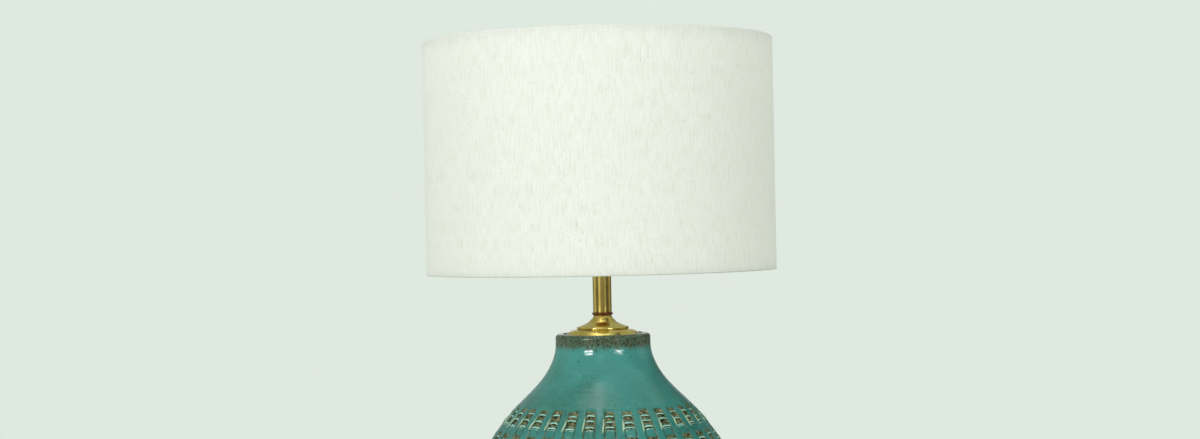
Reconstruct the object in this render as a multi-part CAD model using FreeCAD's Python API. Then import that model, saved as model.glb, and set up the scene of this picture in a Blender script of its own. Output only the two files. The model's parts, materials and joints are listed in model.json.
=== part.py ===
import FreeCAD, Part
import math
import os

from FreeCAD import Vector

# Ceramic table lamp with a drum shade, in millimetres, Z up. The origin is the
# middle of the felt's underside, and the front of the lamp faces -Y.

full_turn = 360.0
quarter_turn = 90.0

# Shared clearances
overrun = 2.0           # how far a cut runs past what it cuts
body_gap = 0.3          # between pieces that move against each other
fit_gap = 0.2           # between nested pieces that stay together
touch_gap = 0.05        # between round faces that are welded or crimped
running_gap = 0.08      # shaft or stud in its bore

# Ceramic body
body_height = 370.0
belly_radius = 172.0
belly_depth = 213.0     # below the lip
foot_radius = 93.0
body_wall = 9.0
lip_width = 10.7
lip_round = 5.0
gallery_depth = 4.0
gallery_width = 5.6
throat_height = 7.0
throat_flare = 13.0
floor_thickness = 9.0
foot_recess_depth = 12.0
foot_ring_width = 17.0
cord_notch_width = 11.0
cord_notch_height = 9.0

# The thrown outline: (share of the widening, share of the height between).
# The first table runs from the lip down to the belly, the second from the
# belly down to the foot.
shoulder_shares = [
    (0.000, 0.084),
    (0.047, 0.172),
    (0.160, 0.270),
    (0.340, 0.369),
    (0.531, 0.467),
    (0.758, 0.615),
    (0.900, 0.751),
    (0.977, 0.869),
    (1.000, 1.000),
]
underside_shares = [
    (0.943, 0.764),
    (0.722, 0.522),
    (0.278, 0.236),
    (0.013, 0.050),
    (0.000, 0.000),
]

# Carved band: ribs down the body, and between them stacks of notches. A notch is cut
# deep at its top and rises to a rim at its bottom; below each stack is a plain tile
rib_count = 32
rib_width_share = 0.46  # of the spacing of the ribs
rib_turn_share = -0.25  # of the spacing, from the X axis to the first rib
carve_top_length = 103.0    # of plain wall, measured along it from under the lip's round
carve_foot_length = 72.5    # of plain wall, from the band to the foot
stack_count = 6
notch_count = 3             # in a stack
tile_share = 0.306          # of a stack and its tile together
notch_depth = 3.2
notch_rim_depth = 0.4
tile_depth = 0.7

# Felt under the foot
felt_thickness = 3.0
felt_inset = 1.5

# Threaded pipe that clamps the whole stack, with its washer and nut
pipe_radius = 5.0
pipe_bore_radius = 3.45
pipe_hole_clearance = 1.5
pipe_tail = 2.0         # below the nut
pipe_grip = 8.0         # inside the socket cap
washer_radius = 15.0
washer_thickness = 1.6
nut_across_flats = 14.3
nut_height = 5.0

# Vase cap that closes the mouth
cap_radius = 50.8
cap_clearance = 0.8
cap_rise = 9.5
cap_crown_radius = 36.0
cap_sheet = 1.0
cap_shares = [          # of the way from the crown to the rim, across and down
    (0.54, 0.24),
    (0.84, 0.64),
]

# Flared spindle under the neck
flare_radius = 34.1
flare_bead_radius = 1.8
flare_bead_edge = 0.6
flare_height = 18.3
flare_neck_radius = 11.8
flare_bend_across_share = 0.27  # where the flare's arc passes, of its widening
flare_bend_up_share = 0.40      # and of its rise

# Neck: a beaded ring, a plain tube and the ring that closes it
neck_ring_radius = 13.8
neck_ring_height = 3.6
neck_ring_edge = 1.2
neck_radius = 12.25
neck_wall = 1.0
neck_length = 71.5
check_ring_radius = 14.2
check_ring_height = 2.5

# Harp saddle: a bent strip with a tongue at each end
saddle_width = 12.0
saddle_strip = 1.6
saddle_reach = 33.0
saddle_foot_reach = 14.0
saddle_arm_rise = 10.0
saddle_shoulder_rise = 20.0
saddle_bend_radius = 4.0
tongue_width = 6.4
tongue_height = 12.0

# Harp: a bowed wire with flat feet, and the seat and stud on its top
harp_wire_radius = 1.95
harp_height = 261.7     # from the saddle strip to the top of the seat
harp_reach = 60.0
harp_waist_share = 0.36
harp_hip_share = 0.62
harp_top_reach = 20.0
harp_bend_radius = 30.0
harp_top_bend_radius = 14.0
harp_foot_thickness = 1.6
harp_bend_room = 7.0    # of the wire, from a lifted ferrule to the first bend's corner
harp_seat_radius = 9.5
harp_seat_thickness = 2.0
stud_radius = 3.1
stud_length = 13.0

# Ferrules that lock the harp to the saddle
ferrule_wall = 0.9
ferrule_length = 16.0
ferrule_lift = 12.0     # clears the tongue, so that the harp comes off

# Lamp socket
socket_cap_radius = 18.2
socket_cap_sheet = 0.8
socket_cap_height = 18.0
socket_cap_foot_radius = 11.0
socket_cap_cone = 12.0
socket_hub_radius = 8.5
socket_hub_height = 6.0
socket_shell_sheet = 0.6
socket_shell_length = 52.0
liner_wall = 0.8
liner_inset = 1.0
switch_block_height = 23.0
screw_shell_wall = 1.0
screw_shell_length = 26.0
contact_radius = 4.0
contact_height = 1.0
terminal_radius = 3.0
terminal_height = 2.4
terminal_reach = 9.0
shell_hole_clearance = 1.0

# Turn knob of the switch and its shaft
shaft_radius = 2.0
shaft_depth = 9.0       # inside the switch block
knob_radius = 6.5
knob_waist_radius = 4.6
knob_length = 12.0
knob_grip_length = 8.0
knob_bore_depth = 9.0
knob_gap = 2.3          # between the socket shell and the knob
knob_edge = 0.8

# Bulb
bulb_base_radius = 13.1
bulb_base_length = 22.0
bulb_insulator_height = 3.0
bulb_tip_radius = 4.0
bulb_tip_height = 1.6
bulb_radius = 30.0
bulb_length = 108.0
bulb_collar_radius = 14.0
bulb_collar_height = 6.0

# Drum shade
shade_radius = 228.6
shade_height = 302.0
shade_above_seat = 19.0
linen_thickness = 0.8
shade_liner_thickness = 0.8
ring_side = 3.0
ring_inset = 0.5
spider_wire_radius = 1.6
spider_arm_shares = {"back": 3 / 12, "front_left": 7 / 12, "front_right": 11 / 12}  # of a full turn
spider_washer_radius = 15.0
spider_washer_thickness = 1.6
spider_hole_clearance = 0.6
spider_hub_gap = 2.0    # from the finial to the inner ends of the arms
spider_rise_start = 38.0
spider_rise_end = 16.0
spider_bend_radius = 12.0

# Finial
finial_base_radius = 8.5
finial_base_height = 3.0
finial_waist_radius = 5.0
finial_waist_height = 9.0
finial_knob_radius = 9.5
finial_knob_bottom = 15.0
finial_knob_top = 26.0
finial_crown_radius = 5.5
finial_height = 31.0
stud_room = 1.0         # beyond the stud's end

# Levels of the body
foot_z = felt_thickness
lip_z = foot_z + body_height
belly_z = lip_z - belly_depth
floor_underside_z = foot_z + foot_recess_depth
floor_top_z = floor_underside_z + floor_thickness
gallery_z = lip_z - gallery_depth
mouth_radius = cap_radius + cap_clearance
lip_radius = mouth_radius + lip_width
throat_radius = mouth_radius - gallery_width
recess_radius = foot_radius - foot_ring_width
pipe_fit_radius = pipe_radius + fit_gap

# Levels of the stack on the pipe
washer_z = floor_underside_z - washer_thickness
nut_z = washer_z - nut_height
pipe_bottom_z = nut_z - pipe_tail
cap_top_z = gallery_z + cap_rise
neck_ring_z = cap_top_z + flare_height
neck_z = neck_ring_z + neck_ring_height
check_ring_z = neck_z + neck_length
saddle_z = check_ring_z + check_ring_height
socket_z = saddle_z + saddle_strip
pipe_top_z = socket_z + pipe_grip

# Levels and radii of the socket, each piece inside the one before
socket_shell_z = socket_z + socket_cap_cone + socket_cap_sheet
socket_shell_radius = socket_cap_radius - socket_cap_sheet - fit_gap
liner_radius = socket_shell_radius - socket_shell_sheet - fit_gap
switch_block_radius = liner_radius - liner_wall - fit_gap
switch_block_z = socket_shell_z
screw_shell_z = switch_block_z + switch_block_height
screw_shell_bore_radius = bulb_base_radius + body_gap
shaft_z = switch_block_z + switch_block_height / 2
shaft_inner_y = -(switch_block_radius - shaft_depth)
knob_y = -(socket_shell_radius + knob_gap)
bulb_z = screw_shell_z + contact_height + body_gap

# Levels of the harp and the ferrules
shoulder_z = saddle_z + saddle_shoulder_rise
harp_foot_z = shoulder_z + saddle_strip
ferrule_z = shoulder_z + body_gap
harp_top_z = saddle_z + harp_height
harp_foot_x = saddle_reach + saddle_strip / 2 + harp_foot_thickness / 2
ferrule_x = saddle_reach + harp_foot_thickness / 2
ferrule_bore_radius = math.hypot(saddle_strip, tongue_width / 2) + body_gap

# Levels and radii of the shade and the finial
spider_washer_z = harp_top_z + body_gap
shade_top_z = spider_washer_z + shade_above_seat
shade_bottom_z = shade_top_z - shade_height
linen_bore_radius = shade_radius - linen_thickness
shade_liner_radius = linen_bore_radius - touch_gap
shade_liner_bore_radius = shade_liner_radius - shade_liner_thickness
ring_radius = shade_liner_bore_radius - touch_gap
ring_bore_radius = ring_radius - ring_side
finial_z = spider_washer_z + spider_washer_thickness + body_gap


def at(radius, height):
    """A point of an outline, in the plane through the lamp's axis."""
    return Vector(radius, 0, height)


def turned_outline(edges):
    """The solid turned about the lamp's axis from a closed outline of edges."""
    outline = Part.Face(Part.Wire(edges))
    return outline.revolve(Vector(0, 0, 0), Vector(0, 0, 1), full_turn)


def straight_edges(points):
    """Straight edges from each point to the next."""
    return [Part.makeLine(start, end) for start, end in zip(points, points[1:])]


def turned(corners):
    """The solid turned about the lamp's axis from a polygon of (radius, height) corners."""
    points = [at(radius, height) for radius, height in corners]
    return turned_outline(straight_edges(points + points[:1]))


def ring(bore_radius, outer_radius, bottom, height):
    """A plain ring, washer or tube about the lamp's axis."""
    top = bottom + height
    return turned([(bore_radius, bottom), (outer_radius, bottom), (outer_radius, top), (bore_radius, top)])


def rod(radius, length, start, direction):
    """A round bar from start along direction."""
    return Part.makeCylinder(radius, length, start, direction)


def block(low, high):
    """A box between two opposite corners."""
    size = high - low
    return Part.makeBox(size.x, size.y, size.z, low)


def mirrored(shape):
    """The same shape on the other side of the lamp, across X."""
    return shape.mirror(Vector(0, 0, 0), Vector(1, 0, 0))


def turned_about_axis(shape, angle):
    """A copy of a shape, turned about the lamp's axis."""
    copy = shape.copy()
    copy.rotate(Vector(0, 0, 0), Vector(0, 0, 1), angle)
    return copy


def bent_path(points, bend_radii):
    """Straight runs through the points, with a tangent arc at each corner."""
    edges = []
    start = points[0]
    for before, corner, after, radius in zip(points, points[1:], points[2:], bend_radii):
        back = (before - corner).normalize()
        ahead = (after - corner).normalize()
        half_turn = (math.pi - back.getAngle(ahead)) / 2
        reach = radius * math.tan(half_turn)
        crown = radius / math.cos(half_turn) - radius
        middle = corner + (back + ahead).normalize() * crown
        entry = corner + back * reach
        leave = corner + ahead * reach
        edges.append(Part.makeLine(start, entry))
        edges.append(Part.Arc(entry, middle, leave).toShape())
        start = leave
    edges.append(Part.makeLine(start, points[-1]))
    return Part.Wire(edges)


def swept_wire(path, radius):
    """A round wire along a path."""
    first = path.Edges[0]
    start = first.valueAt(first.FirstParameter)
    direction = first.tangentAt(first.FirstParameter)
    section = Part.Wire([Part.Circle(start, direction, radius).toShape()])
    return path.makePipeShell([section], True, False)


def smooth_edge(points, start_direction, end_direction):
    """One smooth curve through the points, with a set direction at each end."""
    curve = Part.BSplineCurve()
    curve.interpolate(Points=points, InitialTangent=start_direction, FinalTangent=end_direction)
    return curve.toShape()


# Ceramic body

def shoulder_points():
    """Points of the outer wall from under the lip's round down to the belly."""
    widening = belly_radius - lip_radius
    return [
        (lip_radius + across * widening, lip_z - down * belly_depth)
        for across, down in shoulder_shares
    ]


def underside_points():
    """Points of the outer wall from below the belly down to the foot."""
    widening = belly_radius - foot_radius
    return [
        (foot_radius + across * widening, foot_z + up * (belly_z - foot_z))
        for across, up in underside_shares
    ]


def outer_wall_edges():
    """The smooth outer wall, as one curve above the belly and one below it."""
    down = Vector(0, 0, -1)
    shoulder = [at(lip_radius, lip_z - lip_round)]
    shoulder += [at(radius, height) for radius, height in shoulder_points()]
    underside = shoulder[-1:]
    underside += [at(radius, height) for radius, height in underside_points()]
    return [smooth_edge(shoulder, down, down), smooth_edge(underside, down, down)]


def body_hollow():
    """The space inside the body, with the throat and the gallery for the cap."""
    wall = shoulder_points()[2:-1] + underside_points()[:3]
    throat_z = gallery_z - throat_height
    hollow = [
        (0, lip_z + overrun),
        (mouth_radius, lip_z + overrun),
        (mouth_radius, gallery_z),
        (throat_radius, gallery_z),
        (throat_radius, throat_z),
        (lip_radius - body_wall, throat_z - throat_flare),
    ]
    hollow += [(radius - body_wall, height) for radius, height in wall]
    hollow.append((foot_radius - body_wall, floor_top_z))
    hollow.append((0, floor_top_z))
    return turned(hollow)


def foot_hollow():
    """The recess inside the foot ring and the hole for the pipe."""
    hole_radius = pipe_radius + pipe_hole_clearance
    return turned([
        (0, foot_z - overrun),
        (recess_radius, foot_z - overrun),
        (recess_radius, floor_underside_z),
        (hole_radius, floor_underside_z),
        (hole_radius, floor_top_z + overrun),
        (0, floor_top_z + overrun),
    ])


def lip_round_edge():
    """The quarter round on the outside of the lip."""
    centre = at(lip_radius - lip_round, lip_z - lip_round)
    diagonal = lip_round * math.sqrt(0.5)
    return Part.Arc(
        centre + at(0, lip_round), centre + at(diagonal, diagonal), centre + at(lip_round, 0)
    ).toShape()


def wall_at(length):
    """The thrown wall at a length down it: its point, and how much of its normal points straight out."""
    shoulder, underside = outer_wall_edges()
    edge = shoulder
    if length > shoulder.Length:
        edge = underside
        length -= shoulder.Length
    parameter = edge.getParameterByLength(length)
    return edge.valueAt(parameter), abs(edge.tangentAt(parameter).z)


def ribbed_level(length, depth):
    """Corners of a level of the carved band: two on each rib, then two on the panel beside it."""
    point, outward = wall_at(length)
    panel_radius = point.x - depth / outward
    half_share = rib_width_share / 2
    corners = []
    for index in range(rib_count):
        for share, radius in (
            (-half_share, point.x),
            (half_share, point.x),
            (half_share, panel_radius),
            (1 - half_share, panel_radius),
        ):
            angle = math.radians((index + rib_turn_share + share) * full_turn / rib_count)
            corners.append(Vector(radius * math.cos(angle), radius * math.sin(angle), point.z))
    return corners


def carved_rows():
    """Rows of the carved band from its top down, each as its upper and its lower level."""
    wall_length = sum(edge.Length for edge in outer_wall_edges())
    stack_length = (wall_length - carve_top_length - carve_foot_length) / stack_count
    tile_length = tile_share * stack_length
    notch_length = (stack_length - tile_length) / notch_count
    start = carve_top_length
    rows = []
    for _ in range(stack_count):
        for _ in range(notch_count):
            end = start + notch_length
            rows.append((ribbed_level(start, notch_depth), ribbed_level(end, notch_rim_depth)))
            start = end
        end = start + tile_length
        rows.append((ribbed_level(start, tile_depth), ribbed_level(end, tile_depth)))
        start = end
    return rows


def flat_face(corners):
    """The flat face inside a polygon of corners."""
    return Part.Face(Part.makePolygon(corners + corners[:1]))


def quads_between(upper, lower):
    """Corners of the four-sided faces that join two levels."""
    return [list(corners) for corners in zip(upper, upper[1:] + upper[:1], lower[1:] + lower[:1], lower)]


def carved_band(rows):
    """The carved stretch of the wall as one solid of flat faces, with ledges between its rows."""
    faces = [flat_face(rows[0][0]), flat_face(rows[-1][1])]
    for upper, lower in rows:
        faces += [flat_face(corners) for corners in quads_between(upper, lower)]
    for (_, above), (below, _) in zip(rows, rows[1:]):
        faces += [flat_face(corners) for corners in quads_between(above, below)[2::4]]
    return Part.makeSolid(Part.makeShell(faces))


def cord_notch():
    """The arched hole through the foot ring at the back, where a cord leaves."""
    half_width = cord_notch_width / 2
    spring_z = foot_z + cord_notch_height - half_width
    inner_y = recess_radius - overrun
    crown = Vector(0, inner_y, foot_z + cord_notch_height)
    left = Vector(-half_width, inner_y, spring_z)
    right = Vector(half_width, inner_y, spring_z)
    low_z = foot_z - overrun
    sides = straight_edges([
        right, Vector(half_width, inner_y, low_z), Vector(-half_width, inner_y, low_z), left
    ])
    outline = Part.Wire([Part.Arc(left, crown, right).toShape()] + sides)
    return Part.Face(outline).extrude(Vector(0, foot_ring_width + 2 * overrun, 0))


def thrown_solid():
    """The solid inside the smooth outer wall, from foot to lip."""
    top = straight_edges([
        at(foot_radius, foot_z), at(0, foot_z), at(0, lip_z), at(lip_radius - lip_round, lip_z)
    ])
    return turned_outline(outer_wall_edges() + top + [lip_round_edge()])


def ceramic_body():
    """The thrown and carved body: hollow, with a gallery in its mouth and a foot ring."""
    far = belly_radius + overrun
    rows = carved_rows()
    carved_stretch = block(Vector(-far, -far, rows[-1][1][0].z), Vector(far, far, rows[0][0][0].z))
    outside = thrown_solid().cut(carved_stretch).fuse(carved_band(rows))
    return outside.cut([body_hollow(), foot_hollow(), cord_notch()])


def felt_pad():
    """The felt disc under the foot."""
    return rod(foot_radius - felt_inset, felt_thickness, Vector(0, 0, 0), Vector(0, 0, 1))


# Stack on the pipe

def threaded_pipe():
    """The pipe that runs from under the floor to the socket."""
    return ring(pipe_bore_radius, pipe_radius, pipe_bottom_z, pipe_top_z - pipe_bottom_z)


def base_washer():
    """The washer under the body's floor."""
    return ring(pipe_fit_radius, washer_radius, washer_z, washer_thickness)


def base_nut():
    """The hexagon nut that draws the stack together."""
    corner_radius = nut_across_flats / math.sqrt(3)
    corners = [
        Vector(corner_radius, 0, nut_z),
        Vector(corner_radius / 2, nut_across_flats / 2, nut_z),
        Vector(-corner_radius / 2, nut_across_flats / 2, nut_z),
        Vector(-corner_radius, 0, nut_z),
        Vector(-corner_radius / 2, -nut_across_flats / 2, nut_z),
        Vector(corner_radius / 2, -nut_across_flats / 2, nut_z),
    ]
    hexagon = Part.Face(Part.makePolygon(corners + corners[:1])).extrude(Vector(0, 0, nut_height))
    bore = rod(pipe_fit_radius, nut_height + 2 * overrun, Vector(0, 0, nut_z - overrun), Vector(0, 0, 1))
    return hexagon.cut(bore)


def vase_cap():
    """The spun cap that sits on the gallery in the body's mouth."""
    width = cap_radius - cap_crown_radius
    shoulder = [
        (cap_crown_radius + across * width, cap_top_z - down * cap_rise) for across, down in cap_shares
    ]
    inner_rim_radius = cap_radius - 2 * cap_sheet
    inner_top_z = cap_top_z - cap_sheet
    return turned([
        (pipe_fit_radius, cap_top_z),
        (cap_crown_radius, cap_top_z),
        *shoulder,
        (cap_radius, gallery_z),
        (inner_rim_radius, gallery_z),
        (cap_crown_radius - cap_sheet, inner_top_z),
        (pipe_fit_radius, inner_top_z),
    ])


def flared_spindle():
    """The turned foot of the neck, with a rolled edge and a trumpet flare."""
    bead_radius = flare_radius - flare_bead_radius
    bead_top_z = cap_top_z + 2 * flare_bead_radius
    top_z = cap_top_z + flare_height
    edge_radius = flare_radius - flare_bead_edge
    corners = [
        (flare_neck_radius, top_z),
        (pipe_fit_radius, top_z),
        (pipe_fit_radius, cap_top_z),
        (bead_radius, cap_top_z),
        (edge_radius, cap_top_z + flare_bead_edge),
        (flare_radius, cap_top_z + flare_bead_radius),
        (edge_radius, bead_top_z - flare_bead_edge),
        (bead_radius, bead_top_z),
    ]
    points = [at(radius, height) for radius, height in corners]
    bend = at(
        flare_neck_radius + flare_bend_across_share * (bead_radius - flare_neck_radius),
        bead_top_z + flare_bend_up_share * (top_z - bead_top_z),
    )
    flare = Part.Arc(points[-1], bend, points[0]).toShape()
    return turned_outline(straight_edges(points) + [flare])


def neck_ring():
    """The dark beaded ring between the flare and the neck tube."""
    edge_radius = neck_ring_radius - neck_ring_edge
    return turned([
        (pipe_fit_radius, neck_ring_z),
        (edge_radius, neck_ring_z),
        (neck_ring_radius, neck_ring_z + neck_ring_edge),
        (neck_ring_radius, neck_z - neck_ring_edge),
        (edge_radius, neck_z),
        (pipe_fit_radius, neck_z),
    ])


def neck_tube():
    """The plain brass tube of the neck."""
    return ring(neck_radius - neck_wall, neck_radius, neck_z, neck_length)


def check_ring():
    """The ring that closes the top of the neck tube."""
    return ring(pipe_fit_radius, check_ring_radius, check_ring_z, check_ring_height)


# Harp

def harp_saddle():
    """The bent strip under the socket, with a shouldered tongue at each end."""
    middle_z = saddle_z + saddle_strip / 2
    half_path = [
        at(saddle_reach, shoulder_z + tongue_height),
        at(saddle_reach, middle_z + saddle_arm_rise),
        at(saddle_foot_reach, middle_z),
    ]
    other_half = [at(-point.x, point.z) for point in reversed(half_path)]
    path = bent_path(half_path + other_half, [saddle_bend_radius] * 4)
    thick, wide = saddle_strip / 2, saddle_width / 2
    top = half_path[0]
    corners = [
        top + Vector(-thick, -wide, 0),
        top + Vector(thick, -wide, 0),
        top + Vector(thick, wide, 0),
        top + Vector(-thick, wide, 0),
    ]
    strip = path.makePipeShell([Part.makePolygon(corners + corners[:1])], True, False)
    bottom = Vector(0, 0, saddle_z - overrun)
    cuts = [rod(pipe_fit_radius, saddle_strip + 2 * overrun, bottom, Vector(0, 0, 1))]
    reach = saddle_reach + saddle_strip + overrun
    top_z = shoulder_z + tongue_height + overrun
    for side in (-1, 1):
        near, far = sorted((side * tongue_width / 2, side * (wide + overrun)))
        cuts.append(block(Vector(-reach, near, shoulder_z), Vector(reach, far, top_z)))
    return strip.cut(cuts)


def harp_bow():
    """The bowed wire, down to a flat foot beside each tongue of the saddle."""
    wire_top_z = harp_top_z - harp_seat_thickness - harp_wire_radius
    rise = wire_top_z - harp_foot_z
    half_path = [
        at(harp_foot_x, harp_foot_z + tongue_height),
        at(harp_foot_x, ferrule_z + ferrule_length + ferrule_lift + harp_bend_room),
        at(harp_reach, harp_foot_z + rise * harp_waist_share),
        at(harp_reach, harp_foot_z + rise * harp_hip_share),
        at(harp_top_reach, wire_top_z),
    ]
    other_half = [at(-point.x, point.z) for point in reversed(half_path)]
    bends = [harp_bend_radius] * 3 + [harp_top_bend_radius]
    wire = swept_wire(bent_path(half_path + other_half, bends + bends[::-1]), harp_wire_radius)
    inner_x = harp_foot_x - harp_foot_thickness / 2
    half_width = tongue_width / 2
    foot = block(
        Vector(inner_x, -half_width, harp_foot_z),
        Vector(inner_x + harp_foot_thickness, half_width, harp_foot_z + tongue_height),
    )
    return wire.fuse([foot, mirrored(foot)])


def harp_stud():
    """The seat on top of the harp, with the stud that takes the finial."""
    seat_z = harp_top_z - harp_seat_thickness
    return turned([
        (0, seat_z),
        (harp_seat_radius, seat_z),
        (harp_seat_radius, harp_top_z),
        (stud_radius, harp_top_z),
        (stud_radius, harp_top_z + stud_length),
        (0, harp_top_z + stud_length),
    ])


def harp_ferrule(side):
    """The sleeve that locks one foot of the harp to its tongue."""
    start = Vector(side * ferrule_x, 0, ferrule_z)
    sleeve = rod(ferrule_bore_radius + ferrule_wall, ferrule_length, start, Vector(0, 0, 1))
    bore_start = start - Vector(0, 0, overrun)
    return sleeve.cut(rod(ferrule_bore_radius, ferrule_length + 2 * overrun, bore_start, Vector(0, 0, 1)))


# Socket and switch

def socket_cap():
    """The cup that screws on the pipe and carries the socket."""
    inner_radius = socket_cap_radius - socket_cap_sheet
    cone_z = socket_z + socket_cap_cone
    return turned([
        (pipe_fit_radius, socket_z),
        (socket_cap_foot_radius, socket_z),
        (socket_cap_radius, cone_z),
        (socket_cap_radius, socket_z + socket_cap_height),
        (inner_radius, socket_z + socket_cap_height),
        (inner_radius, cone_z + socket_cap_sheet / 2),
        (socket_hub_radius, socket_z + socket_hub_height),
        (pipe_fit_radius, socket_z + socket_hub_height),
    ])


def shaft_hole(radius):
    """A round way out for the switch shaft, from the block's middle to the front."""
    return rod(radius, socket_cap_radius + overrun, Vector(0, 0, shaft_z), Vector(0, -1, 0))


def socket_shell():
    """The brass shell round the socket, with a hole for the switch shaft."""
    bore_radius = socket_shell_radius - socket_shell_sheet
    shell = ring(bore_radius, socket_shell_radius, socket_shell_z, socket_shell_length)
    return shell.cut(shaft_hole(shaft_radius + shell_hole_clearance))


def socket_liner():
    """The insulating card tube inside the shell."""
    bottom = socket_shell_z + liner_inset
    height = socket_shell_length - 2 * liner_inset
    liner = ring(liner_radius - liner_wall, liner_radius, bottom, height)
    return liner.cut(shaft_hole(shaft_radius + shell_hole_clearance))


def switch_block():
    """The moulded block that holds the switch, with the bore for its shaft."""
    base = Vector(0, 0, switch_block_z)
    moulding = rod(switch_block_radius, switch_block_height, base, Vector(0, 0, 1))
    bore_start = Vector(0, shaft_inner_y + body_gap, shaft_z)
    bore = rod(shaft_radius + running_gap, shaft_depth + overrun, bore_start, Vector(0, -1, 0))
    return moulding.cut(bore)


def screw_shell():
    """The threaded shell that the bulb screws into."""
    outer_radius = screw_shell_bore_radius + screw_shell_wall
    return ring(screw_shell_bore_radius, outer_radius, screw_shell_z, screw_shell_length)


def centre_contact():
    """The contact at the bottom of the screw shell."""
    return rod(contact_radius, contact_height, Vector(0, 0, screw_shell_z), Vector(0, 0, 1))


def terminal_screws():
    """The two wire terminals under the switch block."""
    bottom_z = switch_block_z - terminal_height
    up = Vector(0, 0, 1)
    heads = [
        rod(terminal_radius, terminal_height, Vector(side * terminal_reach, 0, bottom_z), up)
        for side in (-1, 1)
    ]
    return Part.makeCompound(heads)


def switch_shaft():
    """The shaft from the switch block out to the knob."""
    length = shaft_inner_y - knob_y + knob_bore_depth - fit_gap
    return rod(shaft_radius, length, Vector(0, shaft_inner_y, shaft_z), Vector(0, -1, 0))


def switch_knob():
    """The knob: a waisted grip with a blunt end, bored for its shaft."""
    collar_length = knob_length - knob_grip_length
    corners = [
        at(0, 0),
        at(knob_waist_radius, 0),
        at(knob_waist_radius, collar_length),
        at(knob_radius, collar_length + knob_edge),
        at(knob_radius, knob_length - knob_edge),
        at(knob_radius - knob_edge, knob_length),
        at(0, knob_length),
    ]
    knob = turned_outline(straight_edges(corners + corners[:1]))
    bore = rod(shaft_radius + touch_gap, knob_bore_depth + overrun, Vector(0, 0, -overrun), Vector(0, 0, 1))
    knob = knob.cut(bore)
    knob.rotate(Vector(0, 0, 0), Vector(1, 0, 0), quarter_turn)
    knob.translate(Vector(0, knob_y, shaft_z))
    return knob


# Bulb

def bulb_tip():
    """The centre contact of the bulb."""
    return rod(bulb_tip_radius, bulb_tip_height, Vector(0, 0, bulb_z), Vector(0, 0, 1))


def bulb_base():
    """The screw base of the bulb with its insulator."""
    bottom_z = bulb_z + bulb_tip_height
    shoulder_z_of_base = bottom_z + bulb_insulator_height
    return turned([
        (0, bottom_z),
        (bulb_tip_radius, bottom_z),
        (bulb_base_radius, shoulder_z_of_base),
        (bulb_base_radius, shoulder_z_of_base + bulb_base_length),
        (0, shoulder_z_of_base + bulb_base_length),
    ])


def bulb_globe():
    """The frosted globe: a collar, a cone and a sphere that it meets smoothly."""
    bottom_z = bulb_z + bulb_tip_height + bulb_insulator_height + bulb_base_length
    centre_z = bulb_z + bulb_length - bulb_radius
    collar_z = bottom_z + bulb_collar_height
    fall = centre_z - collar_z
    away = math.hypot(bulb_collar_radius, fall)
    tangent_angle = math.acos(bulb_radius / away) - math.atan2(fall, bulb_collar_radius)
    upper_angle = (tangent_angle + math.pi / 2) / 2

    def on_sphere(angle):
        return at(bulb_radius * math.cos(angle), centre_z + bulb_radius * math.sin(angle))

    top = at(0, centre_z + bulb_radius)
    neck = straight_edges([
        top,
        at(0, bottom_z),
        at(bulb_base_radius, bottom_z),
        at(bulb_collar_radius, collar_z),
        on_sphere(tangent_angle),
    ])
    sphere = Part.Arc(on_sphere(tangent_angle), on_sphere(upper_angle), top).toShape()
    return turned_outline(neck + [sphere])


# Shade

def shade_linen():
    """The linen cover of the drum."""
    return ring(linen_bore_radius, shade_radius, shade_bottom_z, shade_height)


def shade_liner():
    """The stiff liner that holds the linen round."""
    return ring(shade_liner_bore_radius, shade_liner_radius, shade_bottom_z, shade_height)


def shade_ring(bottom_z):
    """One steel ring inside the drum."""
    return ring(ring_bore_radius, ring_radius, bottom_z, ring_side)


def spider_washer():
    """The washer of the spider, which sits on the harp's seat."""
    bore_radius = stud_radius + spider_hole_clearance
    return ring(bore_radius, spider_washer_radius, spider_washer_z, spider_washer_thickness)


def spider_arm(share):
    """One arm of the spider: level on the washer, then up to the top ring."""
    level_z = spider_washer_z + spider_washer_thickness + spider_wire_radius
    ring_z = shade_top_z - ring_inset - ring_side / 2
    end_x = ring_bore_radius - touch_gap
    path = bent_path([
        at(finial_base_radius + spider_hub_gap, level_z),
        at(end_x - spider_rise_start, level_z),
        at(end_x - spider_rise_end, ring_z),
        at(end_x, ring_z),
    ], [spider_bend_radius] * 2)
    return turned_about_axis(swept_wire(path, spider_wire_radius), share * full_turn)


def finial():
    """The turned finial that holds the shade down."""
    return turned([
        (0, finial_z + stud_length + stud_room),
        (stud_radius + running_gap, finial_z + stud_length + stud_room),
        (stud_radius + running_gap, finial_z),
        (finial_base_radius, finial_z),
        (finial_base_radius, finial_z + finial_base_height),
        (finial_waist_radius, finial_z + finial_waist_height),
        (finial_knob_radius, finial_z + finial_knob_bottom),
        (finial_knob_radius, finial_z + finial_knob_top),
        (finial_crown_radius, finial_z + finial_height),
        (0, finial_z + finial_height),
    ])


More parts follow.
